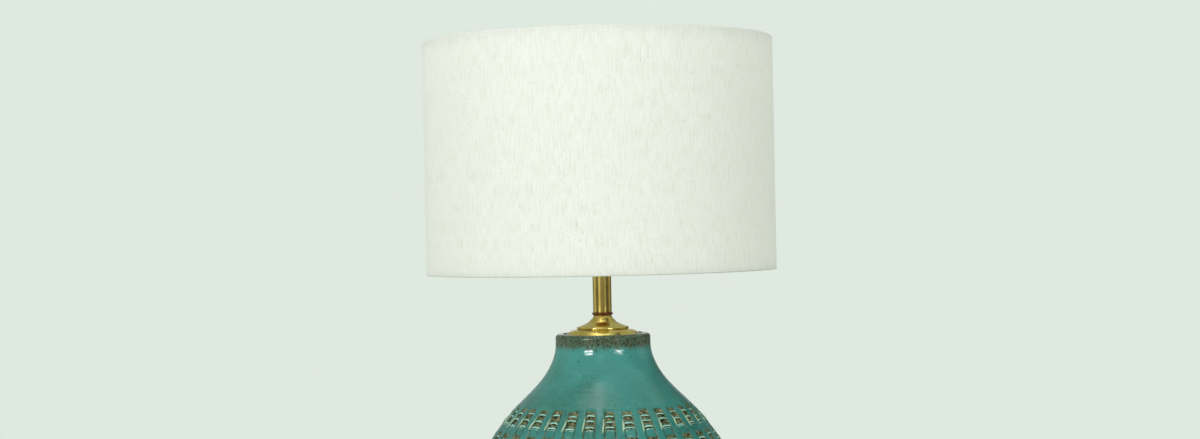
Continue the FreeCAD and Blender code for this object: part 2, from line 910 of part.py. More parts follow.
pieces = {
    "ceramic_body": ceramic_body(),
    "felt_pad": felt_pad(),
    "threaded_pipe": threaded_pipe(),
    "base_washer": base_washer(),
    "base_nut": base_nut(),
    "vase_cap": vase_cap(),
    "flared_spindle": flared_spindle(),
    "neck_ring": neck_ring(),
    "neck_tube": neck_tube(),
    "check_ring": check_ring(),
    "harp_saddle": harp_saddle(),
    "harp_bow": harp_bow(),
    "harp_stud": harp_stud(),
    "harp_ferrule_left": harp_ferrule(-1),
    "harp_ferrule_right": harp_ferrule(1),
    "socket_cap": socket_cap(),
    "socket_shell": socket_shell(),
    "socket_liner": socket_liner(),
    "switch_block": switch_block(),
    "screw_shell": screw_shell(),
    "centre_contact": centre_contact(),
    "terminal_screws": terminal_screws(),
    "switch_shaft": switch_shaft(),
    "switch_knob": switch_knob(),
    "bulb_tip": bulb_tip(),
    "bulb_base": bulb_base(),
    "bulb_globe": bulb_globe(),
    "shade_linen": shade_linen(),
    "shade_liner": shade_liner(),
    "shade_top_ring": shade_ring(shade_top_z - ring_inset - ring_side),
    "shade_bottom_ring": shade_ring(shade_bottom_z + ring_inset),
    "spider_washer": spider_washer(),
    "finial": finial(),
}
for place, share in spider_arm_shares.items():
    pieces["spider_arm_" + place] = spider_arm(share)

os.makedirs("parts", exist_ok=True)
for name, shape in pieces.items():
    shape.exportStep("parts/" + name + ".step")
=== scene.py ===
import json
import math

import bmesh
import bpy
import numpy as np
from mathutils import Matrix, Vector
from mathutils.bvhtree import BVHTree


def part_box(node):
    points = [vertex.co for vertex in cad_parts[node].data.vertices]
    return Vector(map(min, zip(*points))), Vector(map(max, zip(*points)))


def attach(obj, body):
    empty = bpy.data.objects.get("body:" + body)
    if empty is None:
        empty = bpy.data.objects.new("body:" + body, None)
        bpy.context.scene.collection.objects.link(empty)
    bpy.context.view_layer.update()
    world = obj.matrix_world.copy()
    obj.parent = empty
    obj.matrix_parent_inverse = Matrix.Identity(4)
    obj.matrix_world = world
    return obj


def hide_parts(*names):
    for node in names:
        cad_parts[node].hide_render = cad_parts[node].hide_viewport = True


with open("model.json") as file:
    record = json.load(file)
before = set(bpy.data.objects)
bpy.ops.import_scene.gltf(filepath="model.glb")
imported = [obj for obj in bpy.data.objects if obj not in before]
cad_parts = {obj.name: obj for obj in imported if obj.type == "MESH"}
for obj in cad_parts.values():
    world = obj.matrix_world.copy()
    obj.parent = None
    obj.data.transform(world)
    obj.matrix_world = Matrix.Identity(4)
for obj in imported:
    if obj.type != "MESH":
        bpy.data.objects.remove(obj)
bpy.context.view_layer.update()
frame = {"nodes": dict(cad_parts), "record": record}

# The photographed table lamp, dressed: a thrown and carved stoneware body under a
# teal glaze, aged brass fittings and a linen drum shade. Sizes are in millimetres
# and turned to metres by mm, and the places come from the frame.

mm = 0.001
full_turn = 2 * math.pi

# The photograph
image_width = 1200
image_height = 439
focal_pixels = 2006          # width of one radian near the middle of the image
axis_column = 600.6          # where the lamp's axis stands at the camera's height
horizon_row = 222.0
image_roll = 1.15            # degrees by which the lamp leans left in the image
camera_distance = 2629       # from the lamp's axis
camera_above_lip = 145.6
sensor_width = 36.0

# Carved band of the body, counted down the wall from under the lip's round
rib_count = 32
rib_turn = -0.25             # of the spacing of the ribs, from the X axis to the first rib
rib_share = 0.36             # of the spacing
side_share = 0.07            # of the spacing, for the slope at each side of a panel
panel_share = 1 - rib_share - 2 * side_share
rib_wander = 0.05            # of the spacing
wander_scale = 55.0          # features about 18 mm across
panel_depth = 3.2
band_start = 101.0
band_length = 251.0
band_top_fade = 6.5          # and how far its top is ragged
band_fade = 4.0
columns_per_rib = 20
wall_row = 3.8               # height of one row of faces on the outer wall

# One stack of the carving: notches, then a tile, with a burr down its left side
stack_start = 103.0
stack_pitch = 41.5
stack_count = 6
tongues_per_stack = 3
tongue_start = 4.8           # from the stack's start, as the next two are
burr_start = 20.5
tile_start = 35.5
tongue_pitch = 9.6
tongue_half_width = 0.6      # of a panel, as the tile's is
tile_half_width = 0.57
tile_length = 12.0
tile_rise = 2.6
burr_length = 30.0
burr_shift = -0.3            # of the spacing, from the panel's middle
root_depth = 0.6             # how far the edges of a notch or a tile go under the panel's floor
hand_wobble = 2.2            # twice the most that a corner is moved by an unsteady hand
wobble_scale = 260.0         # features about 4 mm across
stack_jitter = 12.0          # up or down the wall, for a jitter of 1

# The relief that the glaze reads: over 1 on a rim, where it paints a highlight, and 0 at the bottom of a cut,
# where it paints shade
rib_relief = 0.8
pressed_relief = -0.62       # added where a panel is pressed in all the way
side_relief = 0.3            # down the sides of a notch or a tile

# Hidden sizes of the body
throat_radius = 46.0
throat_depth = 7.0
gallery_depth = 4.0
gallery_clearance = 0.8      # round the cap
lip_round = 5.0
inner_lip_round = 1.8
body_wall = 9.0
shoulder_depth = 22.0        # from the gallery down to where the hollow starts
foot_ring_width = 17.0
foot_recess = 12.0
floor_thickness = 9.0
pipe_hole_radius = 6.5
notch_width = 11.0           # the notch for a cord, through the foot ring at the back
notch_height = 9.0
notch_inner_radius = 70.0
outer_wall_radius = 60.0     # what is nearer the axis is never pressed in

# Glaze, measured down from the lip or up from the foot
# painted light: the upper wall is painted paler, from the first depth below the lip up to the second
painted_light_end = 75.0
painted_light_start = 14.0
lip_band_depth = 23.0        # less where the glaze ran thin, by up to lip_band_run
lip_band_run = 13.0
lip_band_edge = 7.0
fleck_reach = 24.0
speck_spacing = 17.0
speck_radius = 0.055         # of the spacing
clay_line_height = 4.0       # more where the glaze crept up, by up to clay_line_run
clay_line_run = 3.0
clay_line_edge = 1.2

# Fittings
pipe_clearance_radius = 5.2  # the holes round the lamp pipe
pipe_bore_radius = 3.45
pipe_thread_length = 9.0
pipe_pitch = 0.94
stud_pitch = 0.94
stud_radius = 3.1
bulb_pitch = 3.63
knob_flutes = 24
bead_radius = 0.7            # the beads rolled into the socket's shell

# Linen and its hems
linen_thickness = 0.6
hem_turn_in = 9.0
hem_roll_radius = 1.3
drum_wall = 4.9              # from the linen's outside to its turned-in hem
seam_width = 11.0
seam_height = 0.35           # how far the seam stands out
seam_thickness = 0.5
cover_segments = 288

# What polished pieces mirror, by degrees to the right of the camera as the lamp sees it
mirrored_room = [
    (-180, "dfe9e0"), (-165, "8f968e"), (-118, "8f968e"), (-104, "c9c8bb"), (-88, "b6b4a6"), (-76, "6e6b62"),
    (-55, "5c5a52"), (-39, "dedacb"), (-27, "dedacb"), (-17, "87837a"), (0, "8d887e"), (24, "75716a"),
    (33, "b3afa3"), (41, "b3afa3"), (50, "5a5750"), (68, "4c4a44"), (84, "66635b"), (98, "aaa699"),
    (114, "aaa699"), (126, "5a5852"), (160, "5a5852"), (179, "dfe9e0"),
]

# Studio, in metres: the floor's paper fades into the backdrop between two radii
backdrop = "dfe9e0"
floor_paper = "d9e1da"
floor_radius = 1.85
floor_drop = 0.0005
fade_start = 0.8
fade_end = 1.7
softbox_distance = 2.6
softbox_rise = 11            # degrees over the point that they are turned to
softbox_width = 0.9
softbox_height = 0.05
lit_point = Vector((0, 0, 0.45))


# Nodes

def linear(colour):
    """An sRGB hex colour as linear red, green, blue and alpha."""
    channels = [int(colour[i:i + 2], 16) / 255 for i in (0, 2, 4)]
    bright = [c / 12.92 if c <= 0.04045 else ((c + 0.055) / 1.055) ** 2.4 for c in channels]
    return (*bright, 1.0)


def add(tree, kind, inputs=(), stops=(), **settings):
    """Adds a node with its settings and links.

    inputs are the node's live sockets, by name or as a list in their order. Each takes a value, a
    hex colour, a socket, or a node, which stands for its first live output. stops are the
    (position, hex colour) pairs of a colour ramp."""
    made = tree.nodes.new(kind)
    for name, value in settings.items():
        setattr(made, name, value)
    for number, (position, colour) in enumerate(stops):
        elements = made.color_ramp.elements
        element = elements[number] if number < 2 else elements.new(position)
        element.position = position
        element.color = linear(colour)
    live = [socket for socket in made.inputs if socket.enabled]
    if isinstance(inputs, dict):
        pairs = [(next(s for s in live if s.name == name), value) for name, value in inputs.items()]
    else:
        pairs = zip(live, inputs)
    for socket, value in pairs:
        if isinstance(value, bpy.types.Node):
            value = next(s for s in value.outputs if s.enabled)
        if isinstance(value, bpy.types.NodeSocket):
            tree.links.new(value, socket)
        elif isinstance(value, str) and socket.type == "RGBA":
            socket.default_value = linear(value)
        else:
            socket.default_value = value
    return made


def mottled(tree, place, size, detail=2.0, stretch=(1, 1, 1), **inputs):
    """Mottling with features of about size millimetres, stretched along the axes."""
    scale = [1 / (size * mm * s) for s in stretch]
    moved = add(tree, "ShaderNodeMapping", {"Vector": place, "Scale": scale})
    return add(tree, "ShaderNodeTexNoise", {"Vector": moved, "Scale": 1.0, "Detail": detail, **inputs})


def painted(tree, under, over, pattern, *stops):
    """One colour laid over another. The stops turn the pattern to the share of it that shows."""
    share = add(tree, "ShaderNodeValToRGB", [pattern], stops)
    return add(tree, "ShaderNodeMix", [share, under, over], data_type="RGBA")


def within(tree, line, distance, edge):
    """1 before a line and 0 past it, over a soft edge. The line may wander; all are in metres."""
    inside = add(tree, "ShaderNodeMath", [line, distance], operation="SUBTRACT")
    return add(tree, "ShaderNodeMath", [inside, 1 / edge, 0.5], operation="MULTIPLY_ADD", use_clamp=True)


def new_material(name):
    """An empty material, its tree and its Object coordinates."""
    material = bpy.data.materials.new(name)
    material.use_nodes = True
    tree = material.node_tree
    tree.nodes.clear()
    return material, tree, add(tree, "ShaderNodeTexCoord").outputs["Object"]


def surface(tree, relief, depth, inputs, let_through=None):
    """Ends a material: its bump, depth in millimetres, its shader and its output.

    let_through is the colour and the share of the light that passes through a thin sheet."""
    bump = add(tree, "ShaderNodeBump", {"Height": relief, "Distance": depth * mm, "Strength": 1.0})
    shader = add(tree, "ShaderNodeBsdfPrincipled", {**inputs, "Normal": bump})
    if let_through:
        colour, share = let_through
        through = add(tree, "ShaderNodeBsdfTranslucent", {"Color": colour})
        shader = add(tree, "ShaderNodeMixShader", [share, shader, through])
    add(tree, "ShaderNodeOutputMaterial", {"Surface": shader})


# Materials

def glazed_stoneware():
    """Thrown stoneware under a glossy teal glaze: deep where it pools, brown where it breaks thin. The
    carving's cuts get painted shade, and its rims and burrs a painted highlight.
    """
    material, tree, place = new_material("glazed_stoneware")
    height = add(tree, "ShaderNodeSeparateXYZ", [place]).outputs["Z"]
    foot_z, lip_z = [corner.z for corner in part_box("ceramic_body")]
    above_foot = add(tree, "ShaderNodeMath", [height, foot_z], operation="SUBTRACT")
    below_lip = add(tree, "ShaderNodeMath", [lip_z, height], operation="SUBTRACT")

    # the teal: clouded, speckled, streaked down the wall, and with painted light that makes it paler high up
    cloud = mottled(tree, place, 45, 3.0)
    glaze = add(tree, "ShaderNodeValToRGB", [cloud], [(0.36, "286860"), (0.66, "38807a")])
    grain = mottled(tree, place, 3, 4.0)
    glaze = painted(tree, glaze, "5b9a90", grain, (0.35, "000000"), (0.75, "8c8c8c"))
    # painted light: the teal is painted paler towards the lip
    painted_light_ends = [lip_z - depth * mm for depth in (painted_light_end, painted_light_start)]
    painted_light_share = add(tree, "ShaderNodeMapRange", [height, *painted_light_ends, 0.0, 0.5])
    glaze = add(tree, "ShaderNodeMix", [painted_light_share, glaze, "4d9994"], data_type="RGBA")
    lines = mottled(tree, place, 2.2, 2.0, (60, 60, 1))
    glaze = painted(tree, glaze, "2b6359", lines, (0.45, "000000"), (0.8, "6a6a6a"))

    # in the carving the glaze breaks brown over the clay; the bottoms of the cuts get painted shade and the
    # rims a painted highlight
    relief = add(tree, "ShaderNodeAttribute", attribute_name="relief").outputs["Fac"]
    thin = mottled(tree, place, 3.5, 3.0)
    clay_tones = [(0.36, "2f4636"), (0.48, "56603f"), (0.6, "77714c"), (0.72, "ab9478")]
    broken = add(tree, "ShaderNodeValToRGB", [thin], clay_tones)
    uneven = add(tree, "ShaderNodeMath", [thin, 0.5], operation="SUBTRACT")
    depth = add(tree, "ShaderNodeMath", [uneven, 0.5, relief], operation="MULTIPLY_ADD")
    colour = painted(tree, broken, glaze, depth, (0.46, "000000"), (0.66, "ffffff"))
    # painted shade: near black in the bottoms of the cuts and under the rims
    colour = painted(tree, "0c1a14", colour, depth, (0.06, "000000"), (0.26, "ffffff"))
    # painted highlight: pale aqua along the rims
    colour = painted(tree, colour, "9ccdbb", depth, (0.9, "000000"), (1.0, "ffffff"))
    # painted highlight: pale down the crest of each burr
    pale = add(tree, "ShaderNodeAttribute", attribute_name="pale").outputs["Fac"]
    colour = add(tree, "ShaderNodeMix", [pale, colour, "aabf9c"], data_type="RGBA")

    # the brown band at the lip: it thins out downwards into dark flecks, which are rarer on the teal
    runs = mottled(tree, place, 1.9, 3.0, (1, 1, 5))
    line = add(
        tree, "ShaderNodeMath", [runs, -lip_band_run * mm, lip_band_depth * mm], operation="MULTIPLY_ADD")
    band = within(tree, line, below_lip, lip_band_edge * mm)
    patches = mottled(tree, place, 12, 2.0)
    brown_tones = [(0.42, "4a6350"), (0.56, "4f5f4a"), (0.72, "54583e")]
    brown = add(tree, "ShaderNodeValToRGB", [patches], brown_tones)
    colour = add(tree, "ShaderNodeMix", [band, colour, brown], data_type="RGBA")
    flecks = mottled(tree, place, 1.3, 2.0, (1, 1, 2.6))
    rarity = add(tree, "ShaderNodeMath", [band, -0.14, 0.66], operation="MULTIPLY_ADD")
    fleck = add(tree, "ShaderNodeMath", [flecks, rarity], operation="SUBTRACT")
    fleck = add(tree, "ShaderNodeMath", [fleck, 16.0], operation="MULTIPLY", use_clamp=True)
    near_lip = add(tree, "ShaderNodeMath", [below_lip, fleck_reach * mm], operation="LESS_THAN")
    near_lip = add(tree, "ShaderNodeMath", [near_lip, 0.85], operation="MULTIPLY")
    fleck = add(tree, "ShaderNodeMath", [fleck, near_lip], operation="MULTIPLY")
    colour = add(tree, "ShaderNodeMix", [fleck, colour, "1a1f14"], data_type="RGBA")

    # iron specks, and bare clay on the foot ring
    specks = add(tree, "ShaderNodeTexVoronoi", {"Vector": place, "Scale": 1 / (speck_spacing * mm)})
    speck = add(tree, "ShaderNodeMath", [specks, speck_radius], operation="LESS_THAN")
    speck = add(tree, "ShaderNodeMath", [speck, 0.8], operation="MULTIPLY")
    colour = add(tree, "ShaderNodeMix", [speck, colour, "1d2a1e"], data_type="RGBA")
    line = add(
        tree, "ShaderNodeMath", [runs, clay_line_run * mm, clay_line_height * mm], operation="MULTIPLY_ADD")
    clay = within(tree, line, above_foot, clay_line_edge * mm)
    bare = add(tree, "ShaderNodeValToRGB", [grain], [(0.3, "7a6248"), (0.7, "9a8264")])
    colour = add(tree, "ShaderNodeMix", [clay, colour, bare], data_type="RGBA")

    # glossy, but duller on the bare clay and a little on the brown band
    rough = add(tree, "ShaderNodeMath", [clay, 0.6, 0.05], operation="MULTIPLY_ADD")
    rough = add(tree, "ShaderNodeMath", [band, 0.04, rough], operation="MULTIPLY_ADD")
    rough = add(tree, "ShaderNodeMath", [grain, 0.06, rough], operation="MULTIPLY_ADD")
    swells = mottled(tree, place, 9, 2.0)
    throwing = mottled(tree, place, 5, 1.0, (50, 50, 1))
    waves = add(tree, "ShaderNodeMath", [swells, 0.5, lines], operation="MULTIPLY_ADD")
    waves = add(tree, "ShaderNodeMath", [throwing, 1.6, waves], operation="MULTIPLY_ADD")
    surface(tree, waves, 0.2, {"Base Color": colour, "Roughness": rough, "IOR": 1.5})
    return material


def aged_brass(name, light, dark, rough, stretch=0.0):
    """Lacquered brass gone mellow. Fine lines round a turned piece draw its highlights out along it."""
    material, tree, place = new_material(name)
    cloud = mottled(tree, place, 30, 3.0)
    colour = add(tree, "ShaderNodeValToRGB", [cloud], [(0.35, dark), (0.65, light)])
    # turning lines 0.15 mm apart are drawn 0.5 mm apart, to show at all
    lines = mottled(tree, place, 0.5, 2.0, (80, 80, 1))
    line_share = add(tree, "ShaderNodeMath", [lines, 0.3], operation="MULTIPLY")
    colour = add(tree, "ShaderNodeMix", [line_share, colour, dark], data_type="RGBA")
    fine = mottled(tree, place, 6, 3.0)
    uneven = add(tree, "ShaderNodeMath", [fine, 0.08, rough - 0.04], operation="MULTIPLY_ADD")
    inputs = {"Base Color": colour, "Metallic": 1.0, "Roughness": uneven}
    if stretch:
        along = add(tree, "ShaderNodeTangent", direction_type="UV_MAP", uv_map="turned")
        inputs |= {"Anisotropic": stretch, "Tangent": along}
    surface(tree, lines, 0.006, inputs)
    return material


def plated_steel(name, light, dark, rough):
    """Plated steel wire and strip: clean, with faint drawing marks."""
    material, tree, place = new_material(name)
    cloud = mottled(tree, place, 12, 3.0)
    colour = add(tree, "ShaderNodeValToRGB", [cloud], [(0.3, dark), (0.7, light)])
    fine = mottled(tree, place, 3, 3.0)
    uneven = add(tree, "ShaderNodeMath", [fine, 0.14, rough - 0.07], operation="MULTIPLY_ADD")
    marks = mottled(tree, place, 0.8, 2.0)
    surface(tree, marks, 0.012, {"Base Color": colour, "Metallic": 1.0, "Roughness": uneven})
    return material


def slubbed_linen():
    """Plain-woven linen on a stiff backing: off-white threads with darker slubs along the height."""
    material, tree, place = new_material("slubbed_linen")
    cloth = add(tree, "ShaderNodeUVMap", uv_map="cloth")
    # threads 0.5 mm apart are drawn 1.5 mm apart, so that the weave shows from a step away
    warp = mottled(tree, cloth, 1.5, 1.0, (1, 14, 1))
    weft = mottled(tree, cloth, 1.5, 1.0, (12, 1, 1))
    streaks = mottled(tree, cloth, 2.2, 2.0, (1, 10, 1))
    slubs = mottled(tree, cloth, 1.4, 0.0, (1, 3.5, 1))
    cloud = mottled(tree, cloth, 60, 3.0)
    tone = add(tree, "ShaderNodeValToRGB", [streaks], [(0.34, "f0f1ea"), (0.54, "fafaf8")])
    tone = painted(tree, tone, "d6d8cf", warp, (0.32, "b4b4b4"), (0.52, "000000"))
    tone = painted(tree, tone, "dfe1d9", weft, (0.32, "848484"), (0.52, "000000"))
    tone = painted(tree, tone, "8e8f84", slubs, (0.72, "000000"), (0.79, "b0b0b0"))
    tone = painted(tree, tone, "f0ede6", cloud, (0.35, "303030"), (0.65, "000000"))
    # painted shade: a thin darker line along the lower edge, where the rolled hem turns under
    height = add(tree, "ShaderNodeSeparateXYZ", [place]).outputs["Z"]
    hem_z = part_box("shade_linen")[0].z
    painted_hem_shade = add(tree, "ShaderNodeMapRange", [height, hem_z + 1.8 * mm, hem_z + 0.4 * mm, 0.0, 0.7])
    tone = add(tree, "ShaderNodeMix", [painted_hem_shade, tone, "b9b8a8"], data_type="RGBA")
    weave = add(tree, "ShaderNodeMath", [weft, 0.6, warp], operation="MULTIPLY_ADD")
    weave = add(tree, "ShaderNodeMath", [slubs, 0.8, weave], operation="MULTIPLY_ADD")
    inputs = {"Base Color": tone, "Roughness": 0.92, "Sheen Weight": 0.25, "Sheen Roughness": 0.5}
    surface(tree, weave, 0.16, inputs, let_through=("fbfdfa", 0.5))
    return material


def moulded(name, light, dark, rough, grain=1.5, **inputs):
    """A plain moulded or coated surface with a little mottling and a fine bump."""
    material, tree, place = new_material(name)
    cloud = mottled(tree, place, 12, 4.0)
    colour = add(tree, "ShaderNodeValToRGB", [cloud], [(0.35, dark), (0.65, light)])
    fine = mottled(tree, place, 4, 3.0)
    uneven = add(tree, "ShaderNodeMath", [fine, 0.14, rough - 0.07], operation="MULTIPLY_ADD")
    pits = mottled(tree, place, grain, 3.0)
    surface(tree, pits, 0.04, {"Base Color": colour, "Roughness": uneven, **inputs})
    return material


def white_styrene():
    """The shade's stiff liner: smooth white sheet that lets a soft light through."""
    material, tree, place = new_material("white_styrene")
    cloud = mottled(tree, place, 30, 3.0)
    colour = add(tree, "ShaderNodeValToRGB", [cloud], [(0.35, "f1efe7"), (0.65, "f8f7f1")])
    fine = mottled(tree, place, 5, 3.0)
    uneven = add(tree, "ShaderNodeMath", [fine, 0.14, 0.42], operation="MULTIPLY_ADD")
    ripples = mottled(tree, place, 1.5, 3.0)
    surface(tree, ripples, 0.03, {"Base Color": colour, "Roughness": uneven}, let_through=("fbfaf4", 0.65))
    return material


def wool_felt():
    """Pressed wool felt: matt, with short tangled fibres."""
    material, tree, place = new_material("wool_felt")
    fibres = mottled(tree, place, 0.9, 5.0, Distortion=1.5)
    colour = add(tree, "ShaderNodeValToRGB", [fibres], [(0.3, "1c2c24"), (0.7, "30473a")])
    surface(tree, fibres, 0.35, {"Base Color": colour, "Roughness": 0.97, "Sheen Weight": 0.4})
    return material


finishes = {
    "glazed_stoneware": glazed_stoneware(),
    # the turned stack and the finial: satin, its highlights drawn out round the axis
    "satin_brass": aged_brass("aged_brass", "f5e18a", "dcc36c", 0.17, 0.6),
    # the socket's spun shell: a little cooler and cleaner, because hands seldom reach it
    "bright_brass": aged_brass("lacquered_brass", "dbbd68", "b5934a", 0.22),
    # bare brass inside the socket, gone dull
    "contact_brass": aged_brass("bare_brass", "b79a55", "8f7133", 0.34),
    # the chemically darkened ring, red-brown
    "bronzed_brass": aged_brass("bronzed_brass", "a0714c", "6e452c", 0.3),
    "brassed_steel": plated_steel("brass_plated_steel", "c4a860", "ab9050", 0.3),
    "zinc_steel": plated_steel("zinc_plated_steel", "a9abad", "838588", 0.35),
    "nickelled_brass": plated_steel("nickel_plated_brass", "c2bfb8", "9c9890", 0.25),
    "solder": plated_steel("tin_solder", "9a9a9c", "77777a", 0.5),
    "linen": slubbed_linen(),
    "styrene": white_styrene(),
    # pressed card: matt brown, with a short fibrous grain
    "fibre_card": moulded("fibre_card", "6f5840", "58442f", 0.85, 0.6),
    # hot-pressed phenolic: nearly black, with a soft gloss
    "phenolic": moulded("black_phenolic", "1b1a18", "100f0e", 0.32),
    # the bulb's diffuser: milky, with light scattered just under its skin
    "frosted_diffuser": moulded(
        "frosted_polycarbonate", "efeee8", "e6e5de", 0.45, **{"Subsurface Weight": 0.3}),
    # powder coat on the spider and the rings: off-white, with a fine orange peel
    "shade_steel": moulded("powder_coated_steel", "dedbd2", "ccc9bf", 0.45, 0.5),
    "felt": wool_felt(),
}


# Shapes

def linked_object(name, data):
    """A new object in the scene."""
    made = bpy.data.objects.new(name, data)
    bpy.context.scene.collection.objects.link(made)
    return made


def mesh_piece(name, vertices, faces):
    """An object at the origin from vertices in metres, smooth."""
    mesh = bpy.data.meshes.new(name)
    mesh.from_pydata([tuple(v) for v in vertices], [], faces)
    mesh.shade_smooth()
    return linked_object(name, mesh)


def settle(piece, body, slot, *nodes):
    """Gives a finished piece the finish of its slot and its body, and hides the CAD nodes that it stands for.
    """
    if not piece.data.materials:
        piece.data.materials.append(finishes[slot])
    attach(piece, body)
    if nodes:
        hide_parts(*nodes)


def arc(centre_radius, centre_height, radius, start, end, steps=8):
    """Points of an arc in an outline, with its angles in degrees from straight out."""
    angles = [math.radians(start + (end - start) * i / steps) for i in range(steps + 1)]
    return [(centre_radius + radius * math.cos(a), centre_height + radius * math.sin(a)) for a in angles]


def turned(name, outline, segments=96, place=None, ripple=None, sharp=35):
    """A closed piece turned about an axis from (radius, height) points in millimetres.

    ripple(angle, radius, height) moves a point outwards, as for a thread or flutes. Edges sharper
    than sharp degrees stay crisp."""
    outline = [b for a, b in zip([None, *outline], outline) if a is None or math.dist(a, b) > 0.001]
    steps = [math.dist(a, b) for a, b in zip(outline, outline[1:] + outline[:1])]
    lengths = [sum(steps[:i]) * mm for i in range(len(steps) + 1)]
    vertices, rings, faces, maps = [], [], [], []
    for radius, height in outline:
        count = segments if radius > 0 else 1
        rings.append((len(vertices), count))
        for index in range(count):
            angle = full_turn * index / segments
            reach = radius + (ripple(angle, radius, height) if ripple and radius else 0)
            point = Vector((reach * math.cos(angle), reach * math.sin(angle), height)) * mm
            vertices.append(place @ point if place else point)
    if outline[0][0] > 0:
        rings.append(rings[0])
    for row, (low, high) in enumerate(zip(rings, rings[1:])):
        for index in range(segments):
            corners = {}
            for (start, count), column, level in (
                (low, index, row), (low, index + 1, row), (high, index + 1, row + 1), (high, index, row + 1),
            ):
                corners.setdefault(start + column % count, (lengths[level], column / segments))
            faces.append(list(corners))
            maps += corners.values()
    piece = mesh_piece(name, vertices, faces)
    piece.data.uv_layers.new(name="turned").data.foreach_set("uv", [value for pair in maps for value in pair])
    shell = bmesh.new()
    shell.from_mesh(piece.data)
    bmesh.ops.recalc_face_normals(shell, faces=shell.faces)
    shell.to_mesh(piece.data)
    shell.free()
    piece.data.set_sharp_from_angle(angle=math.radians(sharp))
    return piece


def thread(pitch, depth, cut):
    """The ripple of a screw thread round a turned piece, where cut(radius, height) holds."""
    def groove(angle, radius, height):
        along = 0.5 - 0.5 * math.cos(full_turn * height / pitch - angle)
        return -depth * along if cut(radius, height) else 0
    return groove


def rows_between(radius, low, high, step):
    """Outline points up a straight side, for a ripple to move."""
    count = max(1, round((high - low) / step))
    return [(radius, low + (high - low) * i / count) for i in range(count + 1)]


def levels(node):
    """A node's radius, bottom and top in millimetres."""
    low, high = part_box(node)
    return high.x / mm, low.z / mm, high.z / mm


def smooth_run(points, steps=6):
    """Points of a smooth curve, a Catmull-Rom spline, through outline points."""
    padded = [points[0], *points, points[-1]]
    run = []
    for around in zip(padded, padded[1:], padded[2:], padded[3:]):
        for i in range(steps):
            t = i / steps
            weights = (-t + 2 * t ** 2 - t ** 3, 2 - 5 * t ** 2 + 3 * t ** 3,
                       t + 4 * t ** 2 - 3 * t ** 3, -t ** 2 + t ** 3)
            run.append(tuple(0.5 * sum(w * v for w, v in zip(weights, values)) for values in zip(*around)))
    return run + [points[-1]]


# Ceramic body: its outline is read off the CAD node, then ribbed by geometry nodes

def wall_outline():
    """Radii and heights of the outer wall in metres, from under the lip's round to the foot."""
    node = frame["nodes"]["ceramic_body"]
    corners = [v.co for v in node.data.vertices]
    tree = BVHTree.FromPolygons(corners, [p.vertices for p in node.data.polygons])
    low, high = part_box("ceramic_body")
    samples, outside = 700, 0.3
    heights = np.linspace(high.z - (lip_round + 0.2) * mm, low.z + 0.6 * mm, samples)
    # through the middle of a rib, because the panels are pressed in later
    angle = rib_turn * full_turn / rib_count
    outward = Vector((math.cos(angle), math.sin(angle), 0))
    hits = [tree.ray_cast(outward * outside + Vector((0, 0, height)), -outward)[0] for height in heights]
    radii = np.array([hit.xy.length for hit in hits])
    # the node's flat faces are smoothed out, but for the two ends
    near = 12
    soft = np.convolve(np.pad(radii, near, mode="edge"), np.ones(2 * near + 1) / (2 * near + 1), "valid")
    from_end = np.minimum(np.arange(samples), np.arange(samples)[::-1])
    share = np.clip(from_end / near, 0, 1)
    return soft * share + radii * (1 - share), heights


def lengths_along(radii, heights):
    """How far along an outline each of its points is."""
    return np.concatenate([[0], np.cumsum(np.hypot(np.diff(radii), np.diff(heights)))])


def spaced(radii, heights, step):
    """The same outline with a point every step, measured along it."""
    lengths = lengths_along(radii, heights)
    count = max(2, round(lengths[-1] / step) + 1)
    even = np.linspace(0, lengths[-1], count)
    return list(zip(np.interp(even, lengths, radii), np.interp(even, lengths, heights)))


def body_outline(wall):
    """The whole closed outline of the body, from the throat over the lip to the foot and back inside."""
    _, foot_z, lip_z = levels("ceramic_body")
    mouth = levels("vase_cap")[0] + gallery_clearance
    gallery = lip_z - gallery_depth
    lip_radius = wall[0][0] / mm
    foot_radius = wall[-1][0] / mm
    recess = foot_radius - foot_ring_width
    under = foot_z + foot_recess
    floor = under + floor_thickness
    lip = [(throat_radius, gallery - throat_depth), (throat_radius, gallery - 0.6)]
    lip += [(throat_radius + 0.6, gallery), (mouth - 0.3, gallery)]
    lip += [(mouth, gallery + 0.3), (mouth, lip_z - inner_lip_round)]
    lip += arc(mouth + inner_lip_round, lip_z - inner_lip_round, inner_lip_round, 180, 90, 4)
    lip += arc(lip_radius - lip_round, lip_z - lip_round, lip_round, 88, 4, 7)
    outer = [(radius / mm, height / mm) for radius, height in wall]
    foot = [(foot_radius - 0.5, foot_z + 0.2), (foot_radius - 1.2, foot_z), (foot_radius - 6, foot_z)]
    foot += [(recess + 6, foot_z), (recess + 1, foot_z), (recess, foot_z + 1), (recess, foot_z + 5)]
    foot += [(recess, under - 1), (recess - 1, under), (pipe_hole_radius, under), (pipe_hole_radius, floor)]
    hollow = [(r - body_wall, z) for r, z in outer[::-12] if floor < z < gallery - shoulder_depth]
    return lip + outer + foot + [(hollow[0][0] - 6, floor)] + hollow + [lip[0]]


def geometry_tree(name, sockets):
    """A node tree with named inputs, given as (name, kind, value), and the sockets that give them."""
    tree = bpy.data.node_groups.new(name, "GeometryNodeTree")
    tree.interface.new_socket("Geometry", in_out="INPUT", socket_type="NodeSocketGeometry")
    tree.interface.new_socket("Geometry", in_out="OUTPUT", socket_type="NodeSocketGeometry")
    for socket_name, kind, _ in sockets:
        tree.interface.new_socket(socket_name, in_out="INPUT", socket_type="NodeSocket" + kind)
    return tree, add(tree, "NodeGroupInput").outputs


def end_tree(tree, geometry, material):
    """Real geometry in its material, as the tree's result."""
    real = add(tree, "GeometryNodeRealizeInstances", [geometry])
    dressed = add(tree, "GeometryNodeSetMaterial", {"Geometry": real, "Material": material})
    add(tree, "NodeGroupOutput", [dressed])


